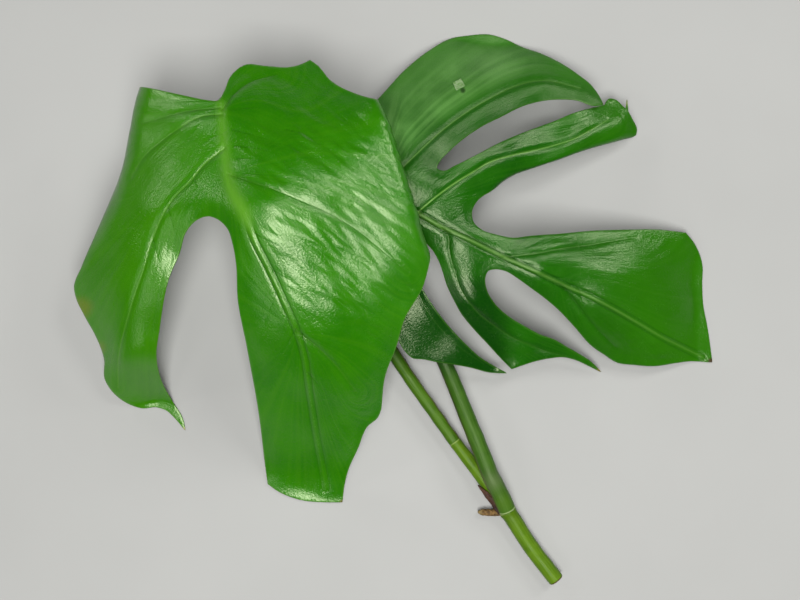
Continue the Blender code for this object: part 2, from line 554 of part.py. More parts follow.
def make_sheath(material, collection):
    """The dry sheath: a sheet round the left of the internode, which narrows to a point."""
    line, radius, ring = stem_line()
    axis = line[ring:]
    lengths = np.linspace(SHEATH_START, SHEATH_END, SHEATH_ROWS)
    centre = places_along(axis, lengths)
    size = np.interp(lengths, length_along(axis), radius[ring:]) + TOUCH_GAP + SHEATH_T
    along = (axis[-1] - axis[0]) / np.linalg.norm(axis[-1] - axis[0])
    side = np.cross((0.0, 0.0, 1.0), along)
    side /= np.linalg.norm(side)
    up = np.cross(along, side)
    spread = SHEATH_SPREAD * np.maximum(1.0 - np.linspace(0.0, 1.0, SHEATH_ROWS) ** 2.2, SHEATH_POINT)
    angle = np.radians(SHEATH_MIDDLE + np.outer(spread, np.linspace(-1.0, 1.0, SHEATH_COLUMNS)))
    sheet = (centre[:, None] + size[:, None, None]
             * (np.cos(angle)[..., None] * up + np.sin(angle)[..., None] * side))
    index = np.arange(angle.size).reshape(angle.shape)
    faces = np.stack([index[:-1, :-1], index[1:, :-1], index[1:, 1:], index[:-1, 1:]], axis=-1)
    mesh = bpy.data.meshes.new("dry_sheath")
    mesh.from_pydata((sheet.reshape(-1, 3) * MM).tolist(), [], faces.reshape(-1, 4).tolist())
    mesh.shade_smooth()
    sheath = add_object("dry_sheath", mesh, material, collection)
    shell = sheath.modifiers.new("Thickness", "SOLIDIFY")
    shell.thickness = SHEATH_T * MM
    shell.offset = -1.0
    return sheath


def build():
    for thing in list(bpy.data.objects):
        bpy.data.objects.remove(thing)
    parts = bpy.data.collections.new("monstera_cutting")
    cutters = bpy.data.collections.new("cutters")
    bpy.context.scene.collection.children.link(parts)
    bpy.context.scene.collection.children.link(cutters)

    front_green = make_material("front_leaf_green", (0.045, 0.17, 0.008), 0.32)
    back_green = make_material("back_leaf_green", (0.03, 0.12, 0.02), 0.36)
    stem_green = make_material("stem_green", (0.16, 0.32, 0.035), 0.4)
    petiole_green = make_material("petiole_green", (0.09, 0.19, 0.04), 0.4)
    dry_brown = make_material("dry_brown", (0.12, 0.065, 0.035), 0.75)

    front_rows = (rib_rows(FRONT_MIDRIB) + fold_rows(FRONT_LEFT_FOLD, FRONT_LEFT_R, FRONT_LEFT_TURN)
                  + fold_rows(FRONT_RIGHT_FOLD, FRONT_RIGHT_R, FRONT_RIGHT_TURN))
    back_rows = rib_rows(BACK_MIDRIB) + fold_rows(BACK_EDGE_FOLD, BACK_EDGE_R, BACK_EDGE_TURN)
    front_net = blade_net(FRONT_EDGE, FRONT_MIDRIB, FRONT_VEINS, front_rows)
    back_net = blade_net(BACK_EDGE, BACK_MIDRIB, BACK_VEINS, back_rows)
    make_leaf("front_leaf", front_net, front_surface, front_green, parts)
    make_leaf("back_leaf", back_net, back_surface, back_green, parts)
    front_cutter = make_joint_clearance("front_joint_clearance", front_net, front_surface, FRONT_JOINT,
                                        front_green, cutters)
    back_cutter = make_joint_clearance("back_joint_clearance", back_net, back_surface, BACK_JOINT,
                                       back_green, cutters)

    line, radius, ring = stem_line()
    make_ringed_tube("stem", line, radius, stem_green, parts)
    clear = radius + TOUCH_GAP
    from_ring = length_along(line) - length_along(line)[ring]
    sheathed = (from_ring > 0.0) & (from_ring < SHEATH_END + TUBE_STEP)
    # A tube's flat sides lie inside its circle, so the room for the round sheath is made larger
    clear[sheathed] = (clear[sheathed] + SHEATH_T + TOUCH_GAP) / math.cos(math.pi / TUBE_SIDES)
    cutter = as_mesh(make_ringed_tube("stem_clearance", line, clear, stem_green, cutters))
    cutter.hide_render = True
    cutter.display_type = "WIRE"

    front_path = petiole_to_leaf(FRONT_PETIOLE_PATH, front_surface, FRONT_JOINT)
    front_petiole = as_mesh(make_tube("front_petiole", front_path, FRONT_PETIOLE_R, stem_green, parts))
    cut(front_petiole, front_cutter)
    back_path = petiole_to_leaf(BACK_PETIOLE_PATH, back_surface, BACK_JOINT)
    back_petiole = as_mesh(make_tube("back_petiole", back_path, BACK_PETIOLE_R, petiole_green, parts))
    cut(back_petiole, cutter)
    cut(back_petiole, back_cutter)
    make_sheath(dry_brown, parts)

    root = as_mesh(make_tube("aerial_root", lifted(ROOT_PATH), ROOT_R, dry_brown, parts, ROOT_STEP))
    cut(root, cutter)


build()
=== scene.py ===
# %% [markdown]
# # A monstera cutting, lying down
#
# This notebook dresses a cutting of a young monstera: two glossy split leaves on long petioles, which
# grow from one short piece of green stem. The solid model that it starts from gives every place and
# size. Here each solid is replaced by a finer surface of the same form, with veins, wrinkles, rounded
# rims and a finish of its own. Lengths are worked out in millimetres, because a leaf is measured in
# millimetres, and turned into metres when a mesh is made.

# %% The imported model
import math

import bpy
import numpy as np
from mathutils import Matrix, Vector
from mathutils.geometry import delaunay_2d_cdt


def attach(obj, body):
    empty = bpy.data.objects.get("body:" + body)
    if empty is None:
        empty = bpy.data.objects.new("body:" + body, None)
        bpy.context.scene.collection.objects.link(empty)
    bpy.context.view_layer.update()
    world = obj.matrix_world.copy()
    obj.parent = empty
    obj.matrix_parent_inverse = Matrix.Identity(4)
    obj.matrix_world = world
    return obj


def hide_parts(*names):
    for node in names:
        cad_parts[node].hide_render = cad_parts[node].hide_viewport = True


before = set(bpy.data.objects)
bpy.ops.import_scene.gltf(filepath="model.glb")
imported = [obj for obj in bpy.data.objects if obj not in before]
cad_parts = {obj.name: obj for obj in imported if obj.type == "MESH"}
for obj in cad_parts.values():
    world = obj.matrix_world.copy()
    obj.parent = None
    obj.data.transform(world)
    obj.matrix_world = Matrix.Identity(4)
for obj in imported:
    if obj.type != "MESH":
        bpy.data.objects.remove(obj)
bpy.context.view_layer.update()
MM = 0.001
print("nodes:", ", ".join(sorted(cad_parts)))

# %% [markdown]
# ## The camera
#
# The cutting lies on a table and the eye is straight above it. The leaves are drawn as they show from
# that eye, so everything starts from its height above the table and from the place below it.

# %% The eye above the middle of the drawing
EYE_HEIGHT = 600.0
BBOX_CENTRE = (-0.4, -4.5)      # the drawing's place that lies at the origin
LENS = 54.0
SENSOR = 36.0

eye = bpy.data.objects.new("eye", bpy.data.cameras.new("eye"))
eye.data.lens = LENS
eye.data.sensor_width = SENSOR
eye.location = (-BBOX_CENTRE[0] * MM, -BBOX_CENTRE[1] * MM, EYE_HEIGHT * MM)
bpy.context.scene.collection.objects.link(eye)
bpy.context.scene.camera = eye
print("the view is", round(EYE_HEIGHT * SENSOR / LENS), "mm wide on the table")

# %% [markdown]
# ## Lines drawn in plan
#
# A leaf starts as a flat drawing: its edge, its midrib and its side veins. A drawn line is a list of
# a few places with a smooth curve through them. Blender's own curves could do that, but the leaf needs
# distances to these lines at every point of its surface, and those are quick with numpy.


# %% A smooth curve through a few places
CURVE_CUTS = 40                 # fine cuts for each given place, before the even steps are made


def smooth(points, step):
    """A cubic through the points, each slope taken from both neighbours, cut into even steps."""
    p = np.array(points, float)
    chord = np.linalg.norm(np.diff(p, axis=0), axis=1)
    at = np.concatenate([[0.0], np.cumsum(chord)])
    slope = np.gradient(p, at, axis=0)
    fine = np.linspace(0.0, at[-1], CURVE_CUTS * len(p))
    k = np.clip(np.searchsorted(at, fine, side="right") - 1, 0, len(chord) - 1)
    span = chord[k][:, None]
    s = ((fine - at[k]) / chord[k])[:, None]
    curve = ((1 + 2 * s) * (1 - s) ** 2 * p[k] + s * (1 - s) ** 2 * span * slope[k]
             + s * s * (3 - 2 * s) * p[k + 1] + s * s * (s - 1) * span * slope[k + 1])
    run = length_along(curve)
    return at_lengths(curve, run, np.linspace(0.0, run[-1], max(1, round(run[-1] / step)) + 1))


def length_along(line):
    """The distance from the line's start to each of its points, as a running sum of its steps."""
    return np.concatenate([[0.0], np.cumsum(np.linalg.norm(np.diff(line, axis=0), axis=1))])


def at_lengths(line, run, lengths):
    """The line's places at the given lengths, where run is the length at each of its own points."""
    return np.stack([np.interp(lengths, run, line[:, i]) for i in range(line.shape[1])], axis=1)


def fade(value, start, end):
    """Nought at start and one at end, with level ends: 3 s squared minus 2 s cubed."""
    s = np.clip((value - start) / (end - start), 0.0, 1.0)
    return s * s * (3.0 - 2.0 * s)


def bell(value, width):
    """exp(-(x / width) squared)."""
    return np.exp(-(value / width) ** 2)


# %% Inside an edge, and near a line
LINE_STEP = 1.0                 # between the points of a line that distances are measured to
EDGE_STEP = 2.0                 # the same for a leaf's whole edge


def in_blocks(function, points, size=1500):
    """Run the function on blocks of points, so that its tables stay small, and join the results."""
    blocks = [function(points[k:k + size]) for k in range(0, len(points), size)]
    return [np.concatenate(parts) for parts in zip(*blocks)]


def inside(points, loop):
    """True where a ray from the point to the right crosses the loop an odd number of times."""
    a, b = loop, np.roll(loop, -1, axis=0)
    rise = np.where(b[:, 1] == a[:, 1], 1.0, b[:, 1] - a[:, 1])

    def test(block):
        u, v = block[:, :1], block[:, 1:]
        spans = (a[:, 1] > v) != (b[:, 1] > v)
        crossing = a[:, 0] + (v - a[:, 1]) * (b[:, 0] - a[:, 0]) / rise
        return ((spans & (u < crossing)).sum(axis=1) % 2 == 1,)

    return in_blocks(test, points)[0]


def nearest(points, line):
    """For each point: the nearest place on the line, its distance, the line's direction there, and how
    far along the line it is, from 0 to 1. Each point is dropped square onto each piece of the line,
    and the shortest drop wins."""
    a, run = line[:-1], np.diff(line, axis=0)
    square = (run * run).sum(axis=1)
    direction = run / np.sqrt(square)[:, None]

    def test(block):
        rel = block[:, None, :] - a
        share = np.clip((rel * run).sum(-1) / square, 0.0, 1.0)
        far = np.linalg.norm(rel - share[..., None] * run, axis=-1)
        k = far.argmin(axis=1)
        rows = np.arange(len(block))
        foot = a[k] + share[rows, k][:, None] * run[k]
        return foot, far[rows, k], direction[k], (k + share[rows, k]) / len(a)

    return in_blocks(test, points)


def left_of(run):
    """Each direction turned a quarter to the left: (-y, x)."""
    return np.stack([-run[:, 1], run[:, 0]], axis=1)


def to_left(points, foot, run):
    """How far each point lies to the left of the line, from its foot and the line's direction there."""
    return ((points - foot) * left_of(run)).sum(axis=1)


def edge_loop(edge, step):
    """The strokes of an edge as one loop of points, and the same with its first point again at the end."""
    loop = np.concatenate([smooth(stroke, step)[:-1] for stroke in edge])
    return loop, np.concatenate([loop, loop[:1]])


# %% [markdown]
# ## The front leaf's drawing
#
# The front leaf has a blunt lobe in the middle, a long lobe on the left with a hooked tip, and two
# folds where its left and right edges roll under. Its edge is a chain of strokes, smooth along a stroke
# and with a corner between two. The strip past a fold is drawn flat, as if it were folded out. A height
# is given at a few places, and the rest of the surface follows from those.

# %% Its edge, veins, heights and folds
FRONT_EDGE = [
    [(-139, 108), (-126, 106), (-112, 103), (-97.5, 100), (-90.5, 99)],
    [(-90.5, 99), (-87.5, 105), (-84.5, 112), (-77.5, 117.5), (-67, 117), (-55, 116.5), (-49, 118),
     (-45, 120)],
    [(-45, 120), (-41.5, 117.5), (-34.5, 109.5), (-24.5, 104), (-15, 101), (-6, 100)],
    [(-6, 100), (1, 95), (9.5, 76.5), (16.5, 54), (18.5, 34), (16.5, 25), (14.5, 17.5)],
    [(14.5, 17.5), (11.5, 7), (2, -10), (-2, -23.5), (-7.5, -38), (-9.5, -55)],
    [(-9.5, -55), (-11, -58.5), (-16.5, -63.5), (-21, -74), (-26, -85), (-28, -92.5), (-29, -101)],
    [(-29, -101), (-36.5, -101), (-51, -99.5), (-61, -95.5), (-66, -92)],
    [(-66, -92), (-67, -85), (-70.5, -57), (-76.5, -23.5), (-81, 0), (-82, 19), (-83.5, 27.5),
     (-86.5, 36), (-90.5, 40), (-96, 42), (-102, 40), (-107, 34.5), (-110.5, 23.5), (-115.5, 11.5),
     (-120.5, -15), (-122, -28), (-119.5, -40.5), (-114, -51), (-109, -59), (-107.5, -65)],
    [(-107.5, -65), (-112, -59.5), (-117, -55), (-121.5, -53.5), (-129, -54), (-137.5, -51),
     (-144.5, -45), (-147.5, -40), (-148, -29.5), (-152, -18.5), (-158, -7.5), (-162, 1), (-163, 6),
     (-159, 17.5), (-153.5, 32), (-148, 50), (-144.5, 66.5), (-141.5, 86.5), (-139, 108)],
]
FRONT_MIDRIB = [(-89.5, 98), (-87.5, 75), (-84, 55), (-78, 43.5), (-73, 30), (-67, 18), (-58.5, 0),
                (-50.5, -18.5), (-47.5, -30), (-45, -47.5), (-41, -72), (-37, -94)]
FRONT_VEINS = [
    [(-89.3, 96.5), (-104.5, 95), (-116.5, 92), (-129, 88.5)],
    [(-89.1, 93), (-98, 92.5), (-109.5, 86.5), (-121.5, 78), (-129, 71), (-135, 61)],
    [(-87.6, 76), (-98.5, 67.5), (-105.5, 59), (-113, 51.5), (-119, 42), (-124, 30), (-128, 16.5),
     (-132.5, 3), (-135, -5), (-141, -30), (-141, -44)],
    [(-85.5, 63), (-78, 60.5), (-66, 56.5), (-53.5, 51.5), (-36.5, 44), (-19.5, 33.5), (-7.5, 23.5),
     (3.5, 14)],
    [(-51.5, -16.0), (-45.5, -20.5), (-38.5, -26.5), (-31.5, -33.5), (-22, -46)],
    [(-89, 95), (-83, 103), (-75, 109), (-62, 113)],
]
FRONT_MINOR_VEINS = [
    [(-85, 95), (-67, 96), (-48, 95.6), (-27, 96)],
    [(-83.5, 85), (-69, 81.3), (-61, 78.5), (-41, 72), (-20, 63)],
    [(-57, 85), (-41, 81), (-22, 74)],
    [(-82.8, 76.5), (-72, 76), (-63, 73.5), (-54.5, 71.3), (-38, 65.5), (-15, 54)],
    [(-81.5, 70.5), (-66.5, 69.3), (-50, 64)],
    [(-79, 62.5), (-65, 63), (-51, 63.3)],
    [(-72.5, 33), (-55, 24), (-35, 10), (-15, -8), (-2, -22)],
    [(-66, 16), (-48, 5), (-30, -10), (-13, -28)],
    [(-60, 2), (-48, -7), (-34, -21), (-18, -38)],
    [(-52, -14), (-58, -26), (-66, -46)],
    [(-46, -36), (-36, -48), (-25, -66)],
    [(-61, 5), (-68, -12), (-73, -34)],
    [(-87, 84), (-97, 79), (-108, 70), (-118, 58), (-126, 44)],
    [(-103, 60), (-98, 52), (-95, 45)],
    [(-116, 46), (-113, 34), (-112, 22), (-114, 8)],
    [(-123.5, 30), (-120, 16), (-119, 0), (-122, -18)],
]
FRONT_PALE = (0.2, 0.4, 0.6, 0.1, 0.2, 0.0)      # how pale the line of each side vein is
FRONT_HEIGHTS = [
    (-90, 98.5, 61), (-78.5, 43.5, 79), (-85, 70, 71), (-50, 75, 71), (-50, 117, 42), (-66, 100, 58),
    (-82.5, 112, 50), (-45, 120, 38), (-25, 103, 52), (-14, 98.5, 60), (-4, 70, 66), (3, 45, 67),
    (10, 20, 62), (13.5, 18, 59), (2, -10, 53), (-5, -28, 45), (-9.5, -55, 27), (-20, -72, 18),
    (-30, 20, 70), (-55, -10, 66), (-35, -20, 60), (-50, -50, 37), (-25, -45, 42), (-46, -75, 15),
    (-48, -91, 1), (-61, -90, 0.5), (-32, -95, -1), (-46, -99, -5), (-60, -95, -3), (-70, -57, 27),
    (-79, -10, 58), (-82, 20, 70), (-90, 40, 72), (-102, 40, 65), (-106, 59, 66), (-119, 42, 61),
    (-110.5, 23.5, 56), (-128, 16.5, 54), (-135, -5, 44), (-120.5, -15, 40), (-122, -30, 30),
    (-140, -30, 27), (-118, -42, 14), (-133, -47, 7), (-112, -55, -1), (-121, -51, -1), (-109, -61, -4),
    (-129, -52, 1), (-142, -45, 10), (-149, -30, 15), (-162, 4, 24), (-152, 30, 38), (-140, 62, 47),
    (-128, 85, 54), (-126, 102, 51), (-108, 90, 61),
]
FRONT_LEFT_FOLD = [(-166, -4), (-162.5, 4), (-156, 16.5), (-147.3, 30.5), (-138.7, 47), (-132.5, 63),
                   (-128.5, 82), (-124, 102.5), (-120, 116)]
FRONT_RIGHT_FOLD = [(-17.5, 106), (-14.5, 98), (-11.5, 91.5), (-5, 72), (2.25, 49), (8, 30),
                    (11.5, 20.5), (15, 14), (21, 5)]
print("front leaf:", sum(len(stroke) for stroke in FRONT_EDGE), "places along its edge")

# %% [markdown]
# ## The back leaf's drawing
#
# The back leaf is split into five lobes. The tip of its upper lobe lies over the corner of the next
# one, whose lower edge is rolled under.

# %% Its edge, veins, heights, fold and overlap
BACK_EDGE = [
    [(-16, 54), (-22, 56), (-28, 60), (-32, 68), (-30, 78), (-22, 90), (-10.5, 101), (3, 115.5),
     (15, 125), (25, 130.5), (34, 132), (45, 132.5), (52, 130.5), (61, 126.5), (71, 123), (82, 117.5),
     (90, 112), (95.5, 107.5), (98.5, 103), (100, 99.5)],
    [(100, 99.5), (95.5, 98.5), (89, 100), (80, 100.5), (70, 99.5), (61, 97), (51, 92), (41, 87),
     (32, 81), (24, 74), (19.5, 69), (18.3, 66), (21.5, 64.5), (27.5, 67), (38.5, 72.5), (52, 79.5),
     (63, 84), (76.5, 89), (87.5, 93.5), (96.5, 96), (102.5, 97.5)],
    [(102.5, 97.5), (104.5, 100.5), (108, 100), (111, 97.3), (113.1, 95.4)],
    [(113.1, 95.4), (113.6, 100.2)],
    [(113.6, 100.2), (114.1, 94.4)],
    [(114.1, 94.4), (116.5, 90), (118.5, 85), (118, 82.3)],
    [(118, 82.3), (113, 78.5), (106, 76), (92.5, 72.5), (80.5, 68), (68, 63.8), (57.5, 59.8), (50, 56.3),
     (44.3, 53.8), (39.2, 50.3), (36, 44.5), (36.5, 39.5), (41, 35), (48.5, 32.5), (56.5, 31),
     (65.5, 32), (80, 33), (96.5, 34.5), (113.5, 35), (130, 35), (143, 33.5)],
    [(143, 33.5), (147, 28.5), (149.5, 23.5), (151, 18), (151, 8), (151.5, -2.5), (153.5, -13),
     (155, -23), (156, -31)],
    [(156, -31), (145, -30.5), (137.5, -31.5), (127.5, -33), (118, -32.5), (108, -31), (102.5, -27.5),
     (96, -23), (87.5, -13.5), (80, -5.5), (72.5, 1), (65, 6.5), (59.5, 10.5), (53, 14.5), (47.5, 15.5),
     (44, 14.5), (42.5, 11), (43, 6), (45.5, 0.5), (49.5, -4.5), (55, -9), (62.5, -13.5), (70, -17.5),
     (77, -20), (83, -23.5), (89.5, -27.2), (95, -30.8), (100.5, -36)],
    [(100.5, -36), (94.5, -33), (90, -30.8), (86, -29.4), (81, -28.5), (75.5, -29), (68, -30.5),
     (61.5, -32.5), (55.8, -34.5)],
    [(55.8, -34.5), (50.8, -29.5), (44, -22), (36.5, -14), (30.5, -6.5), (27, 0), (23.5, 7.5), (21.5, 14),
     (19, 20.5), (15.5, 26), (11, 29.5), (7.5, 28), (6.5, 22), (8, 13), (10.5, 6.5), (16, -2.5),
     (21.5, -10), (28, -17.5), (34.5, -24), (40, -29), (46.5, -33), (53, -36.6)],
    [(53, -36.6), (44, -36), (36.5, -34), (29, -32.5), (19, -31), (11.5, -29.5), (6.5, -29), (3, -26),
     (-1, -19.5), (-10, -8), (-20, 7), (-27, 22), (-29, 36), (-26, 46), (-21, 51), (-16, 54)],
]
BACK_MIDRIB = [(-15.5, 53.5), (-4, 49), (8.5, 43.5), (22, 36), (34, 30.5), (52, 21.5), (68.5, 14),
               (83, 7), (96.5, 1), (107, -4.5), (120, -12), (131, -18.5), (142, -24), (151, -28.5)]
BACK_VEINS = [
    [(-14, 52.9), (1.5, 66.5), (13, 77.5), (22, 85.5), (32, 93), (45, 101), (56.5, 106.5), (72, 110),
     (90, 105.5)],
    [(8.5, 43.5), (18.5, 52), (27.5, 58.5), (36.5, 64), (45, 69), (56.5, 72.5), (70, 75.5), (85.5, 80),
     (104, 90)],
    [(52, 21.5), (65.5, 23), (80, 25.5), (96.5, 28), (118, 31.5)],
    [(20, 37.1), (24, 32), (24.5, 25), (27.5, 14), (30, 6.5), (34.5, -1), (40, -7.5), (48.5, -14),
     (68, -24), (88, -29.5)],
    [(72, 12.4), (80, 7.5), (86, 1), (97, -13), (108, -24)],
    [(-13, 52.5), (-3, 36), (5, 14), (14, -6), (28, -22), (42, -32)],
]
BACK_MINOR_VEINS = [
    [(0, 60), (6, 78), (18, 98), (34, 114), (55, 124)],
    [(-5, 60), (-10, 76), (-2, 96), (12, 114)],
    [(16, 80), (20, 74)],
    [(30, 92), (44, 92)],
    [(50, 70.5), (58, 64), (70, 66)],
    [(38, 65), (48, 74), (70, 84), (92, 91)],
    [(60, 18), (78, 17), (104, 18), (132, 20)],
    [(70, 13), (92, 9), (118, 4), (145, 2)],
    [(82, 7.5), (104, 0), (128, -6), (148, -10)],
    [(66, 24), (84, 29), (110, 33)],
    [(90, 4), (94, -8), (104, -20)],
    [(24, 26), (16, 14), (14, 2)],
    [(27, 16), (36, 6), (46, -6), (56, -12)],
]
BACK_PALE = (0.45, 0.95, 0.2, 0.15, 0.0, 0.1)
BACK_HEIGHTS = [
    (-15.5, 53.5, 41), (8.5, 43.5, 42), (34, 30.5, 41), (68.5, 14, 36), (100, 0, 27), (130, -18, 14),
    (146, -26, 2), (154, -29, -4), (-28, 60, 36), (-30, 76, 33), (-10.5, 101, 22), (3, 115.5, 12),
    (25, 130.5, 1), (45, 132.5, -5), (38, 131, -3), (62, 126, 3), (82, 117.5, 11), (98, 103, 17),
    (1.5, 66.5, 42), (22, 85.5, 38), (45, 101, 31), (72, 109, 22), (19, 69, 38), (41, 87, 33),
    (70, 99.5, 22), (18.5, 52, 42), (36.5, 64, 37), (57, 72.5, 31), (86, 80, 23), (110, 90, 14),
    (104, 100, 13), (118, 84, 8), (112, 77, 10), (60, 60, 25), (38, 45, 35), (52, 80, 30), (80, 90, 21),
    (57, 31, 35), (96, 34, 22), (130, 34, 11), (144, 33, 5), (150, 12, -2), (152.5, -10, -4),
    (118, 10, 22), (108, -31, 6), (96, -23, 13), (80, -5, 24), (60, 10, 33), (43, 12, 35), (46, 0, 31),
    (70, -17, 19), (98, -35, 4), (62, -32, 12), (56, -34, 13), (35, -2, 33), (28, 15, 37), (16, 25, 38),
    (5, 25, 35), (10.5, 6.5, 30), (25, -14, 22), (50, -34, 8), (30, -32, 15), (8, -29, 20),
    (-1, -19, 24), (-20, 7, 31), (-29, 36, 36),
]
BACK_EDGE_FOLD = [(123, 84.5), (114, 83.2), (105, 80.9), (91, 76.9), (79, 72.6), (66.5, 68.4),
                  (55.5, 64.4), (48.5, 59.8), (45, 56), (43.3, 52.5), (42.5, 47)]
LAP_AT = (101.0, 98.2)          # where the upper lobe's tip lies over the next lobe's corner
LAP_SHIFT = (1.7, -1.7)         # how far the tip is moved there, and how far each lobe rises or sinks
LAP_RISE = 2.2
LAP_REACH = 15.0
LAP_LINE = [(18, 65.5), (52, 86.5), (80, 96.5), (98, 97.8), (101, 98.7), (110, 108)]
print("back leaf:", sum(len(stroke) for stroke in BACK_EDGE), "places along its edge")

# %% [markdown]
# ## From the drawing to a surface
#
# A leaf bends as little as it can between the places where it is held. The thin plate spline is that
# surface: the least bent one through the given heights. The rolled edges are wrapped round a cylinder.
# Both are functions of a place in the drawing, so the same leaf can be worked out as finely as wanted.

# %% The least bent surface, and a rolled strip
PLATE_EASE = 8.0                # how freely the surface may pass beside its given heights
FRONT_LEFT_R, FRONT_LEFT_TURN = 7.0, 2.3       # how tightly and how far each edge rolls under
FRONT_RIGHT_R, FRONT_RIGHT_TURN = 4.5, 2.6
BACK_EDGE_R, BACK_EDGE_TURN = 2.5, 2.1
WIDEST_STRIP = 25.0             # a strip past a fold reaches no further than this
BACK_EDGE_STRIP = 9.0


def on_surface(u, v, z):
    """A point drawn at (u, v) and z high. It moves in towards the eye's axis by the share z / height."""
    near = 1.0 - np.asarray(z, float) / EYE_HEIGHT
    return np.stack([np.asarray(u) * near - BBOX_CENTRE[0], np.asarray(v) * near - BBOX_CENTRE[1],
                     np.broadcast_to(z, np.shape(u)).astype(float)], axis=-1)


def thin_plate(spots):
    """The least bent surface through the spot heights: a plane plus r squared log r round each spot."""
    spots = np.array(spots, float)
    places, heights = spots[:, :2], spots[:, 2]

    def kernel(p):
        square = ((p[:, None, :] - places[None]) ** 2).sum(-1)
        return 0.5 * square * np.log(square + 1e-9)

    count = len(spots)
    plane = np.column_stack([np.ones(count), places])
    system = np.zeros((count + 3, count + 3))
    system[:count, :count] = kernel(places) + PLATE_EASE * np.eye(count)
    system[:count, count:] = plane
    system[count:, :count] = plane.T
    weights = np.linalg.solve(system, np.concatenate([heights, np.zeros(3)]))
    return lambda p: kernel(p) @ weights[:count] + weights[count] + p @ weights[count + 1:]


def roll_under(plan, line, radius, turn, widest):
    """Wrap the strip to the left of the line round a cylinder. Past the line a strip e wide reaches only
    r sin(e/r) outwards and drops r (1 - cos(e/r)); after the whole turn it goes on straight."""
    foot, far, run, _ = nearest(plan, smooth(line, LINE_STEP))
    in_strip = (to_left(plan, foot, run) > 0.0) & (far < widest)
    past = np.where(in_strip, far, 0.0)
    angle = np.minimum(past / radius, turn)
    rest = past - radius * angle
    reach = radius * np.sin(angle) + rest * np.cos(angle)
    drop = radius * (1.0 - np.cos(angle)) + rest * np.sin(angle)
    return np.where((past > 0.0)[:, None], foot + left_of(run) * reach[:, None], plan), drop


# %% The two leaves, bent but still without veins
BLADE = 0.55                    # thickness between the veins
TABLE_EASE = 1.5                # how softly a blade bends where it meets the table
TIP_LIFT = 4.6                  # how much the front leaf's tip is raised, so that only its rim touches
TIP_END, TIP_REACH = -102.0, 12.0              # where the tip ends in the drawing, and how far in it rises


def above_table(height, depth):
    """The height, eased off to the depth where it comes near it or falls below it. With the gap
    g = height - depth that is depth + g / 2 + root(g g + ease ease) / 2."""
    gap = height - depth
    return depth + 0.5 * gap + 0.5 * np.sqrt(gap * gap + TABLE_EASE ** 2)


def front_shape(plan, depth=BLADE):
    """Height is the plate minus both rolls' drops, at the place that each point moves to in plan, plus
    the tip's lift, which fades as a bell of the distance from the tip."""
    seen, left = roll_under(plan, FRONT_LEFT_FOLD, FRONT_LEFT_R, FRONT_LEFT_TURN, WIDEST_STRIP)
    seen, right = roll_under(seen, FRONT_RIGHT_FOLD, FRONT_RIGHT_R, FRONT_RIGHT_TURN, WIDEST_STRIP)
    height = thin_plate(FRONT_HEIGHTS)(seen) - left - right
    height = height + TIP_LIFT * bell(seen[:, 1] - TIP_END, TIP_REACH)
    return on_surface(seen[:, 0], seen[:, 1], above_table(height, depth))


def back_shape(plan, depth=BLADE):
    """As above, and near the overlap one lobe is raised and moved over the other, which is lowered."""
    seen, drop = roll_under(plan, BACK_EDGE_FOLD, BACK_EDGE_R, BACK_EDGE_TURN, BACK_EDGE_STRIP)
    height = thin_plate(BACK_HEIGHTS)(seen) - drop
    foot, _, run, _ = nearest(plan, smooth(LAP_LINE, LINE_STEP))
    above = to_left(plan, foot, run) > 0.0
    near = fade(np.linalg.norm(plan - LAP_AT, axis=1), LAP_REACH, 0.0)
    height = height + np.where(above, LAP_RISE, -LAP_RISE) * near
    seen = seen + np.where(above, near, 0.0)[:, None] * np.array(LAP_SHIFT)
    return on_surface(seen[:, 0], seen[:, 1], above_table(height, depth))


# %% [markdown]
# ## A net of points inside the drawing
#
# A plain grid would give a stepped edge. So points are set along the edge and along each vein, a
# honeycomb of points fills the rest, and a triangulation that keeps the drawn lines joins them. A row of
# points right on a vein lets its groove be as sharp as the real one.

# %% Edge, veins and honeycomb joined into triangles
NET_STEP = 1.0
RAIL_GAP = 0.8                  # between a vein and the rows of points that run beside it
MIDRIB_RAILS = 4                # rows on each side of the midrib
ROW_CLEARANCE = 0.6             # a point of a row stays this far from the edge and from earlier rows
COMB_CLEARANCE = 0.62           # and a point of the honeycomb from every row
SAME_POINT = 1e-6               # points nearer than this are one


def beside(line, offset):
    """The line moved to its left by the offset: the point plus offset times (-tangent y, tangent x)."""
    return line + offset * left_of(unit(np.gradient(line, axis=0)))


def unit(vectors):
    """Vectors divided by their lengths."""
    return vectors / np.maximum(np.linalg.norm(vectors, axis=-1, keepdims=True), 1e-12)


def with_rails(midrib, veins):
    """Each vein's row of points, then the rows on both sides of the midrib and one beside each vein."""
    rows, sides = [smooth(line, NET_STEP) for line in [midrib, *veins]], (-1.0, 1.0)
    rails = [beside(rows[0], side * RAIL_GAP * k) for k in range(1, MIDRIB_RAILS + 1) for side in sides]
    rails += [beside(row, side * RAIL_GAP) for row in rows[1:] for side in sides]
    return rows + rails


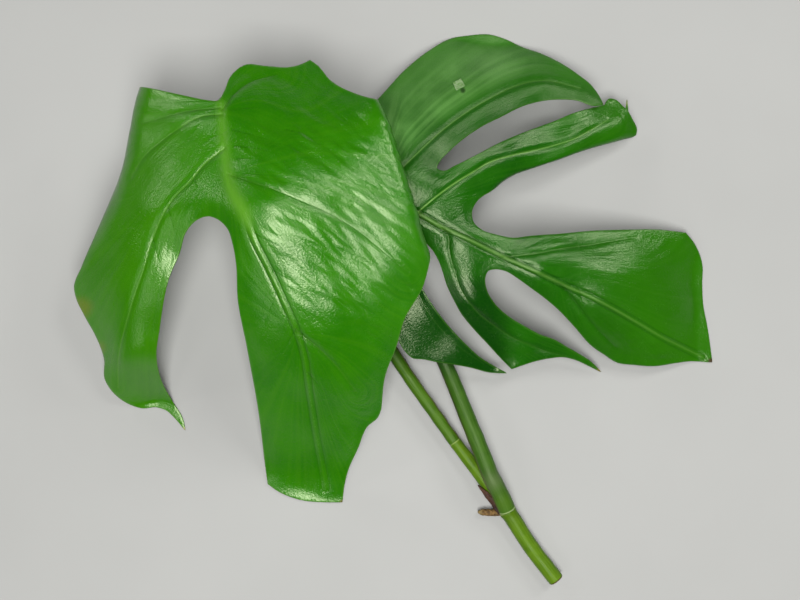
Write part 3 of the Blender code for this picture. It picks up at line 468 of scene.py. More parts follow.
def blade_net(edge, rows):
    """Points in plan and triangles. The honeycomb's rows lie step times the root of 3/4 apart, and every
    second row is moved by half a step. Points too near to a drawn line are left out."""
    loop, ring = edge_loop(edge, NET_STEP)
    points, joins = [loop], [(k, (k + 1) % len(loop)) for k in range(len(loop))]
    for row in rows:
        clear = inside(row, loop) & (nearest(row, ring)[1] > ROW_CLEARANCE)
        others = np.concatenate(points)
        gaps = np.linalg.norm(row[:, None] - others[None], axis=-1).min(axis=1)
        clear &= gaps > ROW_CLEARANCE
        index = len(others) + np.cumsum(clear) - 1
        pairs = np.flatnonzero(clear[:-1] & clear[1:])
        joins += [(int(index[k]), int(index[k + 1])) for k in pairs]
        points.append(row[clear])
    low, high = loop.min(axis=0), loop.max(axis=0)
    up = np.arange(low[1], high[1], NET_STEP * math.sqrt(0.75))
    right = np.arange(low[0], high[0], NET_STEP)
    comb = np.stack(np.meshgrid(right, up), axis=-1)
    comb[1::2, :, 0] += NET_STEP / 2
    comb = comb.reshape(-1, 2)
    comb = comb[inside(comb, loop)]
    for line in [ring, *rows]:
        comb = comb[nearest(comb, line)[1] > COMB_CLEARANCE]
    points = np.concatenate(points + [comb])
    net = delaunay_2d_cdt([Vector(p) for p in points.tolist()], joins, [], 1, SAME_POINT)
    return np.array([tuple(v) for v in net[0]]), np.array(net[2])


front_plan, front_faces = blade_net(FRONT_EDGE, with_rails(FRONT_MIDRIB, FRONT_VEINS))
back_plan, back_faces = blade_net(BACK_EDGE, with_rails(BACK_MIDRIB, BACK_VEINS))
print("front net:", len(front_faces), "triangles; back net:", len(back_faces))

# %% [markdown]
# ## Veins, furrows and wrinkles
#
# Relief is what the light catches. On top, the midrib is a low ridge between two grooves, and a side
# vein is a soft furrow with a sharp crease. Below, both stand out as ribs. Between the veins a living
# blade is never flat: it has long soft waves and short wrinkles. A sum of plane waves with drawn
# headings gives both, and it is a formula, so it needs no texture.

# %% Ripples from a sum of waves
WAVE_SPREAD = (0.7, 1.35)       # the shortest and longest wave, as shares of the given length


def ripples(plan, heading, spread, length, seed, count=36):
    """The sum of plane waves cos(k . p + phase). Their headings are drawn round the given one, in degrees,
    and their lengths within a third of the given one. The result has a typical height of 1."""
    draw = np.random.default_rng(seed)
    angle = np.radians(heading + spread * draw.normal(size=count))
    number = 2 * math.pi / (length * draw.uniform(*WAVE_SPREAD, size=count))
    wave = np.stack([np.cos(angle), np.sin(angle)], axis=0) * number
    phase = draw.uniform(0.0, 2 * math.pi, size=count)
    return np.cos(plan @ wave + phase).sum(axis=1) / math.sqrt(count / 2)


# %% Ripples that follow the veins
def lane_ripples(lane, finest, coarsest, seed, count=12):
    """The sum of cos(k lane + phase), where the lane goes from 0 on a vein to 1/2 midway to the next one.
    So its crests run as the fine parallel veins do, and draw together where the veins meet."""
    draw = np.random.default_rng(seed)
    number = 2 * math.pi * draw.uniform(coarsest, finest, size=count)
    phase = draw.uniform(0.0, 2 * math.pi, size=count)
    return np.cos(np.outer(lane, number) + phase).sum(axis=1) / math.sqrt(count / 2)


# %% Distances to every vein
VEIN_LOSS = 0.65                # share of a side vein's strength that is gone at its end
MINOR_LOSS = 1.5                # how much further off a minor vein counts at its end
FAR_OFF = 50.0                  # where there is no minor vein near


def vein_fields(plan, edge, midrib, veins, minor, pale):
    """Signed distance to the midrib (plus on its left), share along it, distance to the nearest side
    vein, how strong that vein still is, distance to the edge, distance to the nearest minor vein, how
    pale the side vein's line is, and the lane: the distance to the nearest line of all divided by the
    sum of the nearest two, which stays even along the lines between two veins."""
    foot, far, run, along = nearest(plan, smooth(midrib, LINE_STEP))
    found = [nearest(plan, smooth(vein, LINE_STEP)) for vein in veins]
    distances, shares = (np.array([one[k] for one in found]) for k in (1, 3))
    first, rows = distances.argmin(axis=0), np.arange(len(plan))
    small = np.full(len(plan), FAR_OFF)
    for vein in minor:
        _, gap, _, share = nearest(plan, smooth(vein, LINE_STEP))
        small = np.minimum(small, gap + MINOR_LOSS * share)
    margin = nearest(plan, edge_loop(edge, EDGE_STEP)[1])[1]
    both = np.sort(np.concatenate([distances, [far]]), axis=0)
    return {
        "midrib": far * np.sign(to_left(plan, foot, run)), "along": along,
        "vein": distances[first, rows], "strength": 1.0 - VEIN_LOSS * shares[first, rows],
        "margin": margin, "minor": small, "pale": np.array(pale)[first],
        "lane": both[0] / (both[0] + both[1] + 0.01),
    }


# %% [markdown]
# ## From a sheet to a thin body
#
# Blender's Solidify modifier could thicken the sheet, but it leaves square rims. Worked out by hand, the
# underside is the top moved down its normals, and the rim between them is a half round, as on a real
# leaf. The same function closes the chip of the tear and the dry sheath.

# %% Normals, and a closed sheet with a round rim
RIM_STEPS = 3


def vertex_normals(points, faces):
    """The sum of the cross products of all triangles at a point, which weighs them by their areas."""
    a, b, c = (points[faces[:, k]] for k in range(3))
    cross = np.cross(b - a, c - a)
    corners = faces.T.reshape(-1)
    total = [np.bincount(corners, np.tile(cross[:, i], 3), len(points)) for i in range(3)]
    return unit(np.stack(total, axis=1))


def close_sheet(top, faces, depth, floor=None):
    """Below is the top minus normal times depth. An edge with one triangle only is rim, and there the
    skin runs through centre + depth / 2 (cos a normal + sin a outward), a from 0 to half a turn.
    Also returned: which point of the sheet each point comes from, and 0 on top to 1 below."""
    normal = vertex_normals(top, faces)
    below = top - normal * depth[:, None]
    if floor is not None:
        below[:, 2] = np.maximum(below[:, 2], floor)
    edges = faces[:, [0, 1, 1, 2, 2, 0]].reshape(-1, 2)
    _, first, count = np.unique(np.sort(edges, axis=1), axis=0, return_index=True, return_counts=True)
    start, end = edges[first[count == 1]].T
    before, after = np.zeros(len(top), int), np.zeros(len(top), int)
    after[start], before[end] = end, start
    outward = unit(np.cross(unit(top[after[start]] - top[before[start]]), normal[start]))
    centre = (top[start] + below[start]) / 2
    half = np.linalg.norm(top[start] - below[start], axis=1)[:, None] / 2
    angles = np.linspace(0.0, math.pi, RIM_STEPS + 2)[1:-1]
    rings = [centre + half * (math.cos(a) * normal[start] + math.sin(a) * outward) for a in angles]
    size, rim = len(top), len(start)
    seat = np.zeros(size, int)
    seat[start] = np.arange(rim)
    layers = [lambda k: k]
    layers += [lambda k, base=2 * size + j * rim: base + seat[k] for j in range(RIM_STEPS)]
    layers += [lambda k: size + k]
    skin = [faces, faces[:, ::-1] + size]
    for upper, lower in zip(layers[:-1], layers[1:]):
        skin.append(np.stack([upper(end), upper(start), lower(start)], axis=1))
        skin.append(np.stack([upper(end), lower(start), lower(end)], axis=1))
    points = np.concatenate([top, below, *rings])
    if floor is not None:
        points[:, 2] = np.maximum(points[:, 2], floor)
    origin = np.concatenate([np.arange(size), np.arange(size), np.tile(start, RIM_STEPS)])
    side = np.concatenate([np.zeros(size), np.ones(size), np.repeat(angles / math.pi, rim)])
    return points, np.concatenate(skin), origin, side


# %% From arrays to a mesh object
def make_mesh(name, points, triangles, fields, material, sharp=None):
    """A mesh in metres from points in millimetres. Each field becomes an attribute of its points: a
    number for a flat array, or a vector for one with three columns."""
    mesh = bpy.data.meshes.new(name)
    mesh.vertices.add(len(points))
    mesh.vertices.foreach_set("co", (points * MM).astype(np.float32).ravel())
    mesh.loops.add(3 * len(triangles))
    mesh.loops.foreach_set("vertex_index", triangles.astype(np.int32).ravel())
    mesh.polygons.add(len(triangles))
    mesh.polygons.foreach_set("loop_start", np.arange(0, 3 * len(triangles), 3, dtype=np.int32))
    mesh.update(calc_edges=True)
    for field, values in fields.items():
        kind, slot = ("FLOAT", "value") if values.ndim == 1 else ("FLOAT_VECTOR", "vector")
        made = mesh.attributes.new(field, kind, "POINT")
        made.data.foreach_set(slot, values.astype(np.float32).ravel())
    mesh.shade_smooth()
    if sharp is not None:
        mesh.set_sharp_from_angle(angle=math.radians(sharp))
    mesh.materials.append(material)
    thing = bpy.data.objects.new(name, mesh)
    bpy.context.scene.collection.objects.link(thing)
    print(name, "has", len(triangles), "triangles")
    return thing


# %% [markdown]
# ## Shader maths as Python expressions
#
# A finish is a formula over the surface, and a formula is easier to read as an expression than as a
# web of nodes. The class below wraps one socket. Adding, multiplying or subtracting two of them, or one
# and a number, adds a Math node and gives back a new one, so `mask * 0.5 + 0.1` works as it reads.


# %% A socket that can be calculated with
class Field:
    """A number that changes over the surface: the output of a node in a material's tree."""

    def __init__(self, paint, socket):
        self.paint = paint
        self.socket = socket

    def math(self, operation, *others):
        """A Math node on this number and the others."""
        inputs = dict(enumerate([self, *others]))
        return self.paint.node("ShaderNodeMath", {"operation": operation}, inputs)

    def __add__(self, other):
        return self.math("ADD", other)

    def __mul__(self, other):
        return self.math("MULTIPLY", other)

    def __sub__(self, other):
        return self.math("SUBTRACT", other)

    def absolute(self):
        return self.math("ABSOLUTE")

    def bell(self, width):
        """One where the number is nought, and falling off as exp(-(x / width) squared)."""
        part = self * (1.0 / width)
        return (part * part * -1.0).math("EXPONENT")

    def ramp(self, low, high, start=0.0, end=1.0):
        """Start below low, end above high, and a smooth step between."""
        inputs = {"Value": self, "From Min": low, "From Max": high, "To Min": start, "To Max": end}
        settings = {"interpolation_type": "SMOOTHSTEP"}
        return self.paint.node("ShaderNodeMapRange", settings, inputs)

    def patches(self):
        """Noise, which keeps near one half, spread out to run from 0 to 1."""
        return self.ramp(0.3, 0.7)


# %% A material and its nodes
class Paint:
    """A material with a Principled shader. What is even all over is set on the shader's own sockets."""

    def __init__(self, name, **constants):
        self.material = bpy.data.materials.new(name)
        self.material.use_nodes = True
        self.tree = self.material.node_tree
        self.shader = self.tree.nodes["Principled BSDF"]
        for socket, value in constants.items():
            self.shader.inputs[socket.replace("_", " ")].default_value = value

    def node(self, kind, settings=None, inputs=None, output=0):
        """Add a node, make its settings, then fill its inputs with values or links."""
        made = self.tree.nodes.new(kind)
        for key, value in (settings or {}).items():
            setattr(made, key, value)
        for key, value in (inputs or {}).items():
            if isinstance(value, Field):
                self.tree.links.new(value.socket, made.inputs[key])
            else:
                made.inputs[key].default_value = value
        return Field(self, made.outputs[output])

    def attribute(self, name, output="Fac"):
        """The attribute's number, or its vector, at each point."""
        return self.node("ShaderNodeAttribute", {"attribute_name": name}, output=output)

    def place(self):
        """The point's place on the object, in metres."""
        return self.node("ShaderNodeTexCoord", output="Object")

    def stretched(self, vector, scale, turn=0.0):
        """The vector turned about Z, in degrees, and then scaled along each axis."""
        turned = self.node("ShaderNodeVectorRotate", {"rotation_type": "Z_AXIS"},
                           {"Vector": vector, "Angle": math.radians(turn)})
        settings = {"operation": "MULTIPLY"}
        return self.node("ShaderNodeVectorMath", settings, {0: turned, 1: scale})

    def noise(self, vector, scale, detail=2.0, roughness=0.5):
        """Soft noise between 0 and 1."""
        inputs = {"Vector": vector, "Scale": scale, "Detail": detail, "Roughness": roughness}
        return self.node("ShaderNodeTexNoise", None, inputs)

    def near(self, vector, centre):
        """The distance from a fixed place."""
        settings = {"operation": "DISTANCE"}
        return self.node("ShaderNodeVectorMath", settings, {0: vector, 1: centre}, output="Value")

    def blend(self, share, start, end):
        """A colour that goes from start to end as the share goes from 0 to 1."""
        settings = {"data_type": "RGBA"}
        inputs = {0: share, 6: colour(start), 7: colour(end)}
        return self.node("ShaderNodeMix", settings, inputs, output=2)

    def bump(self, height, distance, normal=None):
        """A Bump node on a height in the given distance, in metres."""
        inputs = {"Height": height, "Distance": distance, "Strength": 1.0}
        if normal is not None:
            inputs["Normal"] = normal
        return self.node("ShaderNodeBump", None, inputs)

    def finish(self, **links):
        """Link the shader's changing inputs."""
        for socket, field in links.items():
            self.tree.links.new(field.socket, self.shader.inputs[socket.replace("_", " ")])
        return self.material


def colour(value):
    """A link as it is, or a screen colour in bytes as linear light with full cover."""
    if isinstance(value, Field):
        return value
    share = np.array(value) / 255.0
    linear = np.where(share <= 0.04045, share / 12.92, ((share + 0.055) / 1.055) ** 2.4)
    return (*linear.tolist(), 1.0)


# %% [markdown]
# ## The blade's finish
#
# A monstera's blade is deep green under a clear waxy skin. The midrib and veins are paler, the rim has a
# hair-thin light margin, young parts are yellower, and the underside is dull and pale. Very fine relief
# breaks up the gloss: cells about a millimetre wide, and a faint net of veinlets. Both leaves use the
# same formula with their own colours, and the attributes carry the distances that it needs.


# %% A leaf's material
SHEEN = (0.9, 1.0, 0.66, 1.0)   # what the green skin does to light that it mirrors
MOTTLE_SCALE, DULL_SCALE, NET_SCALE = 0.045, 0.16, 0.55       # patches, dull spots and net, per millimetre
GRAIN_SCALE, PORE_SCALE = 1350.0, 1050.0       # the skin's fine relief, per metre
VEIN_LINE, VEIN_SHADE, MINOR_LINE, GROOVE_LINE = 0.45, 1.0, 0.5, 0.5       # half widths, in millimetres
SKIN_BUMP, STREAK_BUMP, VEIN_BUMP, RIB_BUMP = 0.0002, 0.0001, 0.0002, 0.0003


def leaf_paint(name, tones, places):
    """Deep green, varied by soft noise and by streaks along the veins, then each feature over it."""
    paint = Paint(name, IOR=1.5, Specular_IOR_Level=tones["gloss"], Specular_Tint=SHEEN, Metallic=0.0)
    drawing = paint.attribute("drawing", "Vector")
    here = paint.place()
    under = paint.attribute("side").ramp(0.45, 0.75)
    rib = paint.attribute("midrib").absolute()
    vein = paint.attribute("vein")
    strength = paint.attribute("strength")
    band = paint.attribute("band")
    lane = paint.attribute("lane")

    mottle = paint.noise(drawing, MOTTLE_SCALE, 3.0)
    patches = mottle.patches()
    lanes = paint.node("ShaderNodeCombineXYZ", None, {0: lane * 34.0, 1: mottle * 1.5})
    streaks = paint.noise(lanes, 1.0, 2.0)
    green = paint.blend(patches, tones["deep"], tones["fresh"])
    green = paint.blend(paint.attribute("young"), green, tones["young"])
    green = paint.blend(streaks.ramp(0.35, 0.75) * 0.22, green, tones["pale"])
    # Painted sheen: a pale green laid where the lamps give no gloss; waxy is how much of it shows.
    waxy = paint.attribute("bloom") * (streaks.patches() * 0.35 + patches * 0.35 + 0.15)
    green = paint.blend(waxy * 0.8, green, tones["bloom"])
    # Painted shade from an attribute: on the back leaf below its upper lobe's vein and on its lowest lobes.
    green = paint.blend(paint.attribute("dark"), green, tones["shade"])
    side_vein = vein.bell(VEIN_LINE) * strength
    # Painted shade along the side veins' furrows.
    green = paint.blend(vein.bell(VEIN_SHADE) * strength * 0.4, green, tones["shade"])
    green = paint.blend(side_vein * paint.attribute("pale"), green, tones["vein"])
    minor = paint.attribute("minor").bell(MINOR_LINE)
    # Painted shade along the minor veins' furrows.
    green = paint.blend(minor * 0.5, green, tones["shade"])
    cord = paint.attribute("cord")
    groove = (rib - tones["cord"]).bell(GROOVE_LINE) * cord
    # Painted shade in the grooves on both sides of the midrib's ridge.
    green = paint.blend(groove * 0.85, green, tones["shade"])
    green = paint.blend(band, green, tones["band"])
    margin = paint.attribute("margin")
    green = paint.blend(margin.ramp(0.6, 0.15) * 0.45, green, tones["margin"])

    cells = paint.node("ShaderNodeTexVoronoi", {"feature": "DISTANCE_TO_EDGE"},
                       {"Vector": drawing, "Scale": NET_SCALE}, output="Distance")
    net = cells.ramp(0.0, 0.09, 1.0, 0.0) * margin.ramp(0.5, 3.0)
    green = paint.blend(net * 0.1, green, tones["pale"])
    for spot, radius, tone, cover in places:
        reach = paint.near(drawing, (*spot, 0.0)) + mottle * (0.6 * radius)
        green = paint.blend(reach.ramp(1.25 * radius, 0.55 * radius) * cover, green, tone)

    below = paint.blend(patches, tones["under"], tones["under_pale"])
    below = paint.blend(rib.bell(1.7) * 0.9, below, tones["under_rib"])
    below = paint.blend(vein.bell(0.8) * strength * 0.8, below, tones["under_rib"])
    below = paint.blend(net * 0.35, below, tones["under_rib"])
    skin = paint.blend(under, green, below)

    grain = paint.noise(here, GRAIN_SCALE, 2.0)
    dull = paint.noise(drawing, DULL_SCALE, 3.0)
    rough = dull.ramp(0.3, 0.75, tones["smooth"], tones["rough"]) + grain * 0.08
    rough = rough + band * 0.28 + under * 0.22 + paint.attribute("dull") * 0.16
    pores = paint.noise(here, PORE_SCALE, 3.0, 0.6)
    relief = paint.bump(pores * 0.6 + grain * 0.3 + net * -0.08, SKIN_BUMP)
    relief = paint.bump(streaks, STREAK_BUMP, relief)
    relief = paint.bump(side_vein * -0.8 - minor * 0.4, VEIN_BUMP, relief)
    relief = paint.bump(rib.bell(0.8) * cord - groove, RIB_BUMP, relief)
    return paint.finish(Base_Color=skin, Roughness=rough, Normal=relief)


# %% [markdown]
# ## The front leaf
#
# Its midrib is a broad yellow-green band from the petiole to the crest, where the blade bends down, and
# a pair of fine ridges from there on. The right half is wrinkled along lines that run down to the right.
# The left lobe's outer corner has begun to yellow.

# %% Its relief
RIB_DEPTH, RIB_HALF, RIB_LOSS = 3.0, 3.0, 0.75
VEIN_DEPTH, VEIN_HALF = 0.9, 1.4
FRONT_CREST = 0.33              # share of the midrib that lies before the bend
# Across a vein: waves of (height, distance from the vein's middle, half width)
FRONT_CORD = [(0.36, 0.0, 0.9), (-0.34, 1.9, 0.8), (0.16, 3.8, 1.4)]
FRONT_FURROW = [(-0.22, 0.0, 2.4), (-0.22, 0.0, 0.8), (0.16, 2.6, 1.4)]
MINOR_FURROW = [(-0.08, 0.0, 1.2)]
# Between the veins: ripples of heading, spread, length and seed
FRONT_SOFT, FRONT_PATCH = (40.0, 60.0, 26.0, 3), (120.0, 60.0, 21.0, 7)
FRONT_FINE, FRONT_BROAD = (56.0, 13.0, 4.6, 5), (54.0, 13.0, 8.5, 13)
FRONT_LINES = (16.0, 6.0, 17)   # finest, coarsest and seed


def across(distance, waves):
    """The sum of height times bell(distance - place, half width) over the waves."""
    return sum(height * bell(distance - place, half) for height, place, half in waves)


def arched(fields, height):
    """How the blade arches between two veins: height times the sine of half a turn across the lane."""
    return height * np.sin(math.pi * fields["lane"]) * fade(fields["margin"], 0.0, 9.0)


def under_ribs(fields):
    """Half an ellipse below each vein, as deep and wide as the solid's, lessening towards the tips."""
    taper = 1.0 - RIB_LOSS * fields["along"]
    rib = np.sqrt(np.maximum(0.0, 1.0 - (fields["midrib"] / (RIB_HALF * taper)) ** 2))
    side = np.sqrt(np.maximum(0.0, 1.0 - (fields["vein"] / VEIN_HALF) ** 2))
    return BLADE + np.maximum(RIB_DEPTH * taper ** 1.5 * rib, VEIN_DEPTH * fields["strength"] * side)


def front_relief(plan, fields):
    """Before the crest a low swelling, after it a ridge between two grooves; furrows on the side veins;
    soft waves everywhere, and wrinkles on the right half that fade towards the edge and the top."""
    rib, along = np.abs(fields["midrib"]), fields["along"]
    before = 1.0 - fade(along, FRONT_CREST - 0.1, FRONT_CREST + 0.05)
    after = fade(along, FRONT_CREST - 0.06, FRONT_CREST + 0.05) * (1.0 - 0.7 * along)
    relief = before * 0.22 * bell(rib, 3.6) + after * across(rib, FRONT_CORD)
    relief += fields["strength"] * across(fields["vein"], FRONT_FURROW)
    relief += across(fields["minor"], MINOR_FURROW)
    right = fade(fields["midrib"], -3.0, 12.0) * fade(plan[:, 1], -60.0, 5.0)
    right *= 0.4 + 0.6 * fade(plan[:, 1], 100.0, 72.0)
    inner = 0.65 + 0.35 * fade(fields["midrib"], 8.0, 32.0)
    fine = ripples(plan, *FRONT_FINE) * np.clip(0.75 + 0.45 * ripples(plan, *FRONT_PATCH), 0.0, 1.6)
    wrinkles = right * inner * (0.09 * fine + 0.12 * ripples(plan, *FRONT_BROAD))
    lines = (1.0 - right) * lane_ripples(fields["lane"], *FRONT_LINES)
    calm = fade(fields["margin"], 0.5, 6.0)
    waves = 0.14 * ripples(plan, *FRONT_SOFT) + wrinkles + 0.03 * lines
    return relief + arched(fields, 0.35) + calm * waves


# %% Its points and their attributes
FRONT_BAND_HALF = ((0.0, 0.1, 0.28, 0.34, 0.6, 1.0), (2.6, 2.9, 3.8, 1.6, 0.8, 0.4))
FRONT_BAND_COVER = ((0.0, 0.12, 0.25, 0.3, 0.36, 1.0), (0.7, 0.7, 1.0, 0.9, 0.3, 0.15))


def make_leaf(name, plan, faces, drawing, shape, relief, extra, material):
    """Bend the net, add the relief along its normals, lift what would go through the table, close the
    sheet and hand over the attributes."""
    fields = vein_fields(plan, *drawing)
    depth = under_ribs(fields)
    base = shape(plan, depth)
    if vertex_normals(base, faces)[:, 2].mean() < 0.0:
        faces = faces[:, ::-1]
    top = base + vertex_normals(base, faces) * relief(plan, fields)[:, None]
    top[:, 2] = np.maximum(top[:, 2], depth)
    points, triangles, origin, side = close_sheet(top, faces, depth, floor=0.0)
    fields.update(extra(plan, fields))
    fields["drawing"] = np.column_stack([plan, np.zeros(len(plan))])
    fields = {key: values[origin] for key, values in fields.items()}
    fields["side"] = side
    return make_mesh(name, points, triangles, fields, material)


def vein_band(fields, half, cover):
    """How much the midrib's band covers the blade: its half width and its cover are given along it."""
    return np.interp(fields["along"], *cover) * bell(fields["midrib"], np.interp(fields["along"], *half))


def front_extra(plan, fields):
    """The band, widest at the crest; how young the blade is, most at the left corner; how dull its gloss
    is, most at the lower right; and how strong the ridges are, which begin at the crest."""
    along, none = fields["along"], np.zeros(len(plan))
    return {
        "band": vein_band(fields, FRONT_BAND_HALF, FRONT_BAND_COVER),
        "young": 0.4 * fade(plan[:, 0], -88.0, -125.0),
        "bloom": none,
        "dull": 0.6 * fade(fields["midrib"], 24.0, 50.0) * fade(plan[:, 1], 62.0, 40.0),
        "dark": none,
        "cord": fade(along, FRONT_CREST - 0.03, FRONT_CREST + 0.04) * (1.0 - 0.8 * along),
    }


FRONT_TONES = {
    "deep": (28, 94, 0), "fresh": (37, 103, 1), "young": (54, 112, 3), "pale": (62, 120, 7),
    "shade": (16, 66, 1), "vein": (84, 140, 40), "band": (66, 124, 0), "margin": (64, 111, 20),
    "under": (72, 108, 45), "under_pale": (84, 119, 56), "under_rib": (108, 137, 73),
    "bloom": (90, 122, 75), "gloss": 0.6, "smooth": 0.15, "rough": 0.21, "cord": 1.8,
}
FRONT_PLACES = [                # small marks: place, radius, colour and cover
    ((-160.0, -4.0), 9.0, (104, 106, 20), 0.5),
    ((-151.0, -24.0), 6.0, (97, 104, 20), 0.4),
    ((-107.6, -64.6), 1.6, (114, 106, 44), 0.85),
    ((-29.2, -100.8), 1.3, (90, 67, 28), 0.7),
]
front_green = leaf_paint("front_leaf_skin", FRONT_TONES, FRONT_PLACES)
front_drawing = (FRONT_EDGE, FRONT_MIDRIB, FRONT_VEINS, FRONT_MINOR_VEINS, FRONT_PALE)
front_leaf = make_leaf("front_leaf_blade", front_plan, front_faces, front_drawing, front_shape,
                       front_relief, front_extra, front_green)
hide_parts("front_leaf")
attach(front_leaf, "root")

# %% [markdown]
# ## The back leaf
#
# It is older: deeper and bluer near its base, yellower at the ends of its lobes, and less glossy. Its
# midrib is a round pale rib. On the upper lobe a small tear has lifted a chip of the skin.


# %% Its relief and attributes
TEAR_AT = (30.3, 105.8)
BACK_CORD = [(0.5, 0.0, 1.0), (-0.36, 2.0, 0.8), (0.12, 3.4, 1.0)]
BACK_FURROW = [(-0.22, 0.0, 2.1), (-0.24, 0.0, 0.8), (0.15, 2.4, 1.3)]
BACK_SOFT, BACK_PATCH = (75.0, 50.0, 24.0, 23), (30.0, 60.0, 20.0, 31)
BACK_FINE, BACK_LINES = (100.0, 14.0, 6.5, 29), (15.0, 5.0, 37)
BACK_BAND_HALF = ((0.0, 0.5, 1.0), (1.0, 0.7, 0.45))
BACK_BAND_COVER = ((0.0, 0.5, 1.0), (0.7, 0.6, 0.3))
BACK_RIB_LOSS = 0.75            # share of the ridge that is gone at the leaf's end


def back_relief(plan, fields):
    """A round ridge between two grooves on the midrib, furrows on the side veins, long waves that run
    out along the lobes, and the small raised chip of the tear."""
    ridge = (1.0 - BACK_RIB_LOSS * fields["along"]) * across(np.abs(fields["midrib"]), BACK_CORD)
    relief = ridge + fields["strength"] * across(fields["vein"], BACK_FURROW)
    relief += across(fields["minor"], MINOR_FURROW)
    fine = ripples(plan, *BACK_FINE) * (0.6 + 0.4 * ripples(plan, *BACK_PATCH))
    lines = lane_ripples(fields["lane"], *BACK_LINES)
    waves = 0.18 * ripples(plan, *BACK_SOFT) + 0.05 * fine * fade(plan[:, 0], 40.0, 100.0) + 0.035 * lines
    calm = fade(fields["margin"], 0.5, 5.0)
    chip = bell(np.linalg.norm(plan - TEAR_AT, axis=1), 1.4)
    return relief + arched(fields, 0.45) + calm * waves + 0.2 * chip


def back_extra(plan, fields):
    """A thin pale band on the midrib; young tissue towards the ends of the lobes; a painted sheen, a pale
    green, on the upper lobe above its vein; a duller gloss on all of that lobe; and painted shade below
    its vein and on the two lowest lobes."""
    ends = fade(plan[:, 0], 55.0, 150.0) + 0.6 * fade(plan[:, 1], 84.0, 120.0)
    foot, _, run, _ = nearest(plan, smooth(BACK_VEINS[0], LINE_STEP))
    above = to_left(plan, foot, run)
    # Painted sheen on the upper lobe, above its vein, weaker towards its edge.
    bloom = fade(above, 1.0, 9.0) * fade(plan[:, 1], 62.0, 88.0) * fade(plan[:, 0], 98.0, 50.0)
    bloom *= 0.35 + 0.65 * fade(fields["margin"], 0.0, 14.0)
    slit = np.interp(plan[:, 0], *np.array(LAP_LINE, float).T)
    upper = fade(plan[:, 1] - slit, -3.0, 3.0) * fade(plan[:, 1], 56.0, 72.0)
    lowest = fade(plan[:, 1], 16.0, 6.0) * fade(plan[:, 0], 62.0, 44.0)
    return {
        "band": vein_band(fields, BACK_BAND_HALF, BACK_BAND_COVER),
        "young": np.clip(ends, 0.0, 1.0) * 0.75,
        "bloom": bloom,
        "dull": upper,
        # Painted shade: below the upper lobe's vein, and on the two lowest lobes.
        "dark": np.maximum(0.4 * upper * fade(above, 5.0, -2.0), 0.95 * lowest),
        "cord": 1.0 - BACK_RIB_LOSS * fields["along"],
    }


BACK_TONES = {
    "deep": (13, 68, 3), "fresh": (20, 80, 3), "young": (39, 99, 4), "pale": (48, 102, 16),
    "shade": (8, 53, 4), "vein": (92, 136, 56), "band": (81, 122, 44), "margin": (55, 95, 28),
    "under": (66, 101, 51), "under_pale": (76, 112, 61), "under_rib": (101, 131, 78),
    # The pale green among the tones on the next line is the colour of the painted sheen.
    "bloom": (98, 146, 74), "gloss": 0.38, "smooth": 0.16, "rough": 0.24, "cord": 1.6,
}
BACK_PLACES = [
    ((155.6, -30.6), 2.2, (55, 34, 20), 0.95),
    ((99.6, -35.2), 2.0, (111, 97, 51), 0.8),
    ((113.6, 99.5), 3.4, (120, 128, 80), 0.8),
    ((55.2, -35.2), 1.6, (90, 83, 44), 0.5),
    # Painted shadow of the lifted chip, on the blade beside the tear.
    ((31.4, 104.6), 2.0, (14, 42, 8), 0.85),
]
back_green = leaf_paint("back_leaf_skin", BACK_TONES, BACK_PLACES)
back_drawing = (BACK_EDGE, BACK_MIDRIB, BACK_VEINS, BACK_MINOR_VEINS, BACK_PALE)
back_leaf = make_leaf("back_leaf_blade", back_plan, back_faces, back_drawing, back_shape,
                      back_relief, back_extra, back_green)
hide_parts("back_leaf")
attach(back_leaf, "root")

# %% [markdown]
# ## The small tear
#
# The chip on the upper lobe is a scrap of blade that has come loose on three sides and curls up. It is
# a little curved sheet, closed with the same round rim as the leaves.


# %% A curled scrap on the blade
TEAR_TURN = 118.0               # which way it points, in degrees
TEAR_SIZE = (4.0, 4.8)          # its length and width
TEAR_LIFT = 0.9                 # how high its free end stands
TEAR_GAP, TEAR_T = 0.25, 0.3    # its start above the blade, and its thickness


def grid_faces(rows, columns, closed=False):
    """Two triangles for each cell of a grid of points, counter-clockwise with rows up and columns right.
    A closed grid joins its last column to its first."""
    index = np.arange(rows * columns).reshape(rows, columns)
    if closed:
        index = np.concatenate([index, index[:, :1]], axis=1)
    a, b, c, d = index[:-1, :-1], index[:-1, 1:], index[1:, 1:], index[1:, :-1]
    halves = np.stack([np.stack([a, b, c], -1), np.stack([a, c, d], -1)], axis=2)
    return halves.reshape(-1, 3)


def make_flap(name, material):
    """A sheet of s along and t across that leaves the blade at s = 0 and curls up as s squared."""
    s, t = np.meshgrid(np.linspace(0.0, 1.0, 14), np.linspace(-0.5, 0.5, 12), indexing="ij")
    ahead = np.array([math.cos(math.radians(TEAR_TURN)), math.sin(math.radians(TEAR_TURN))])
    sideways = np.array([-ahead[1], ahead[0]])
    width = TEAR_SIZE[1] * (1.0 - 0.12 * s)
    flat = np.array(TEAR_AT) + (s * TEAR_SIZE[0])[..., None] * ahead + (t * width)[..., None] * sideways
    top = back_shape(flat.reshape(-1, 2))
    top[:, 2] += TEAR_GAP + TEAR_LIFT * s.ravel() ** 2
    points, triangles, _, side = close_sheet(top, grid_faces(*s.shape), np.full(len(top), TEAR_T))
    fields = {"side": side, "drawing": np.column_stack([points[:, :2], np.zeros(len(points))])}
    return make_mesh(name, points, triangles, fields, material)


def flap_paint():
    """Dry skin, mottled in pale greens that are partly a painted highlight."""
    paint = Paint("torn_skin", Specular_IOR_Level=0.5)
    mottle = paint.noise(paint.place(), 900.0, 3.0)
    skin = paint.blend(mottle.patches(), (84, 122, 60), (124, 148, 106))
    return paint.finish(Base_Color=skin, Roughness=mottle * 0.2 + 0.25)


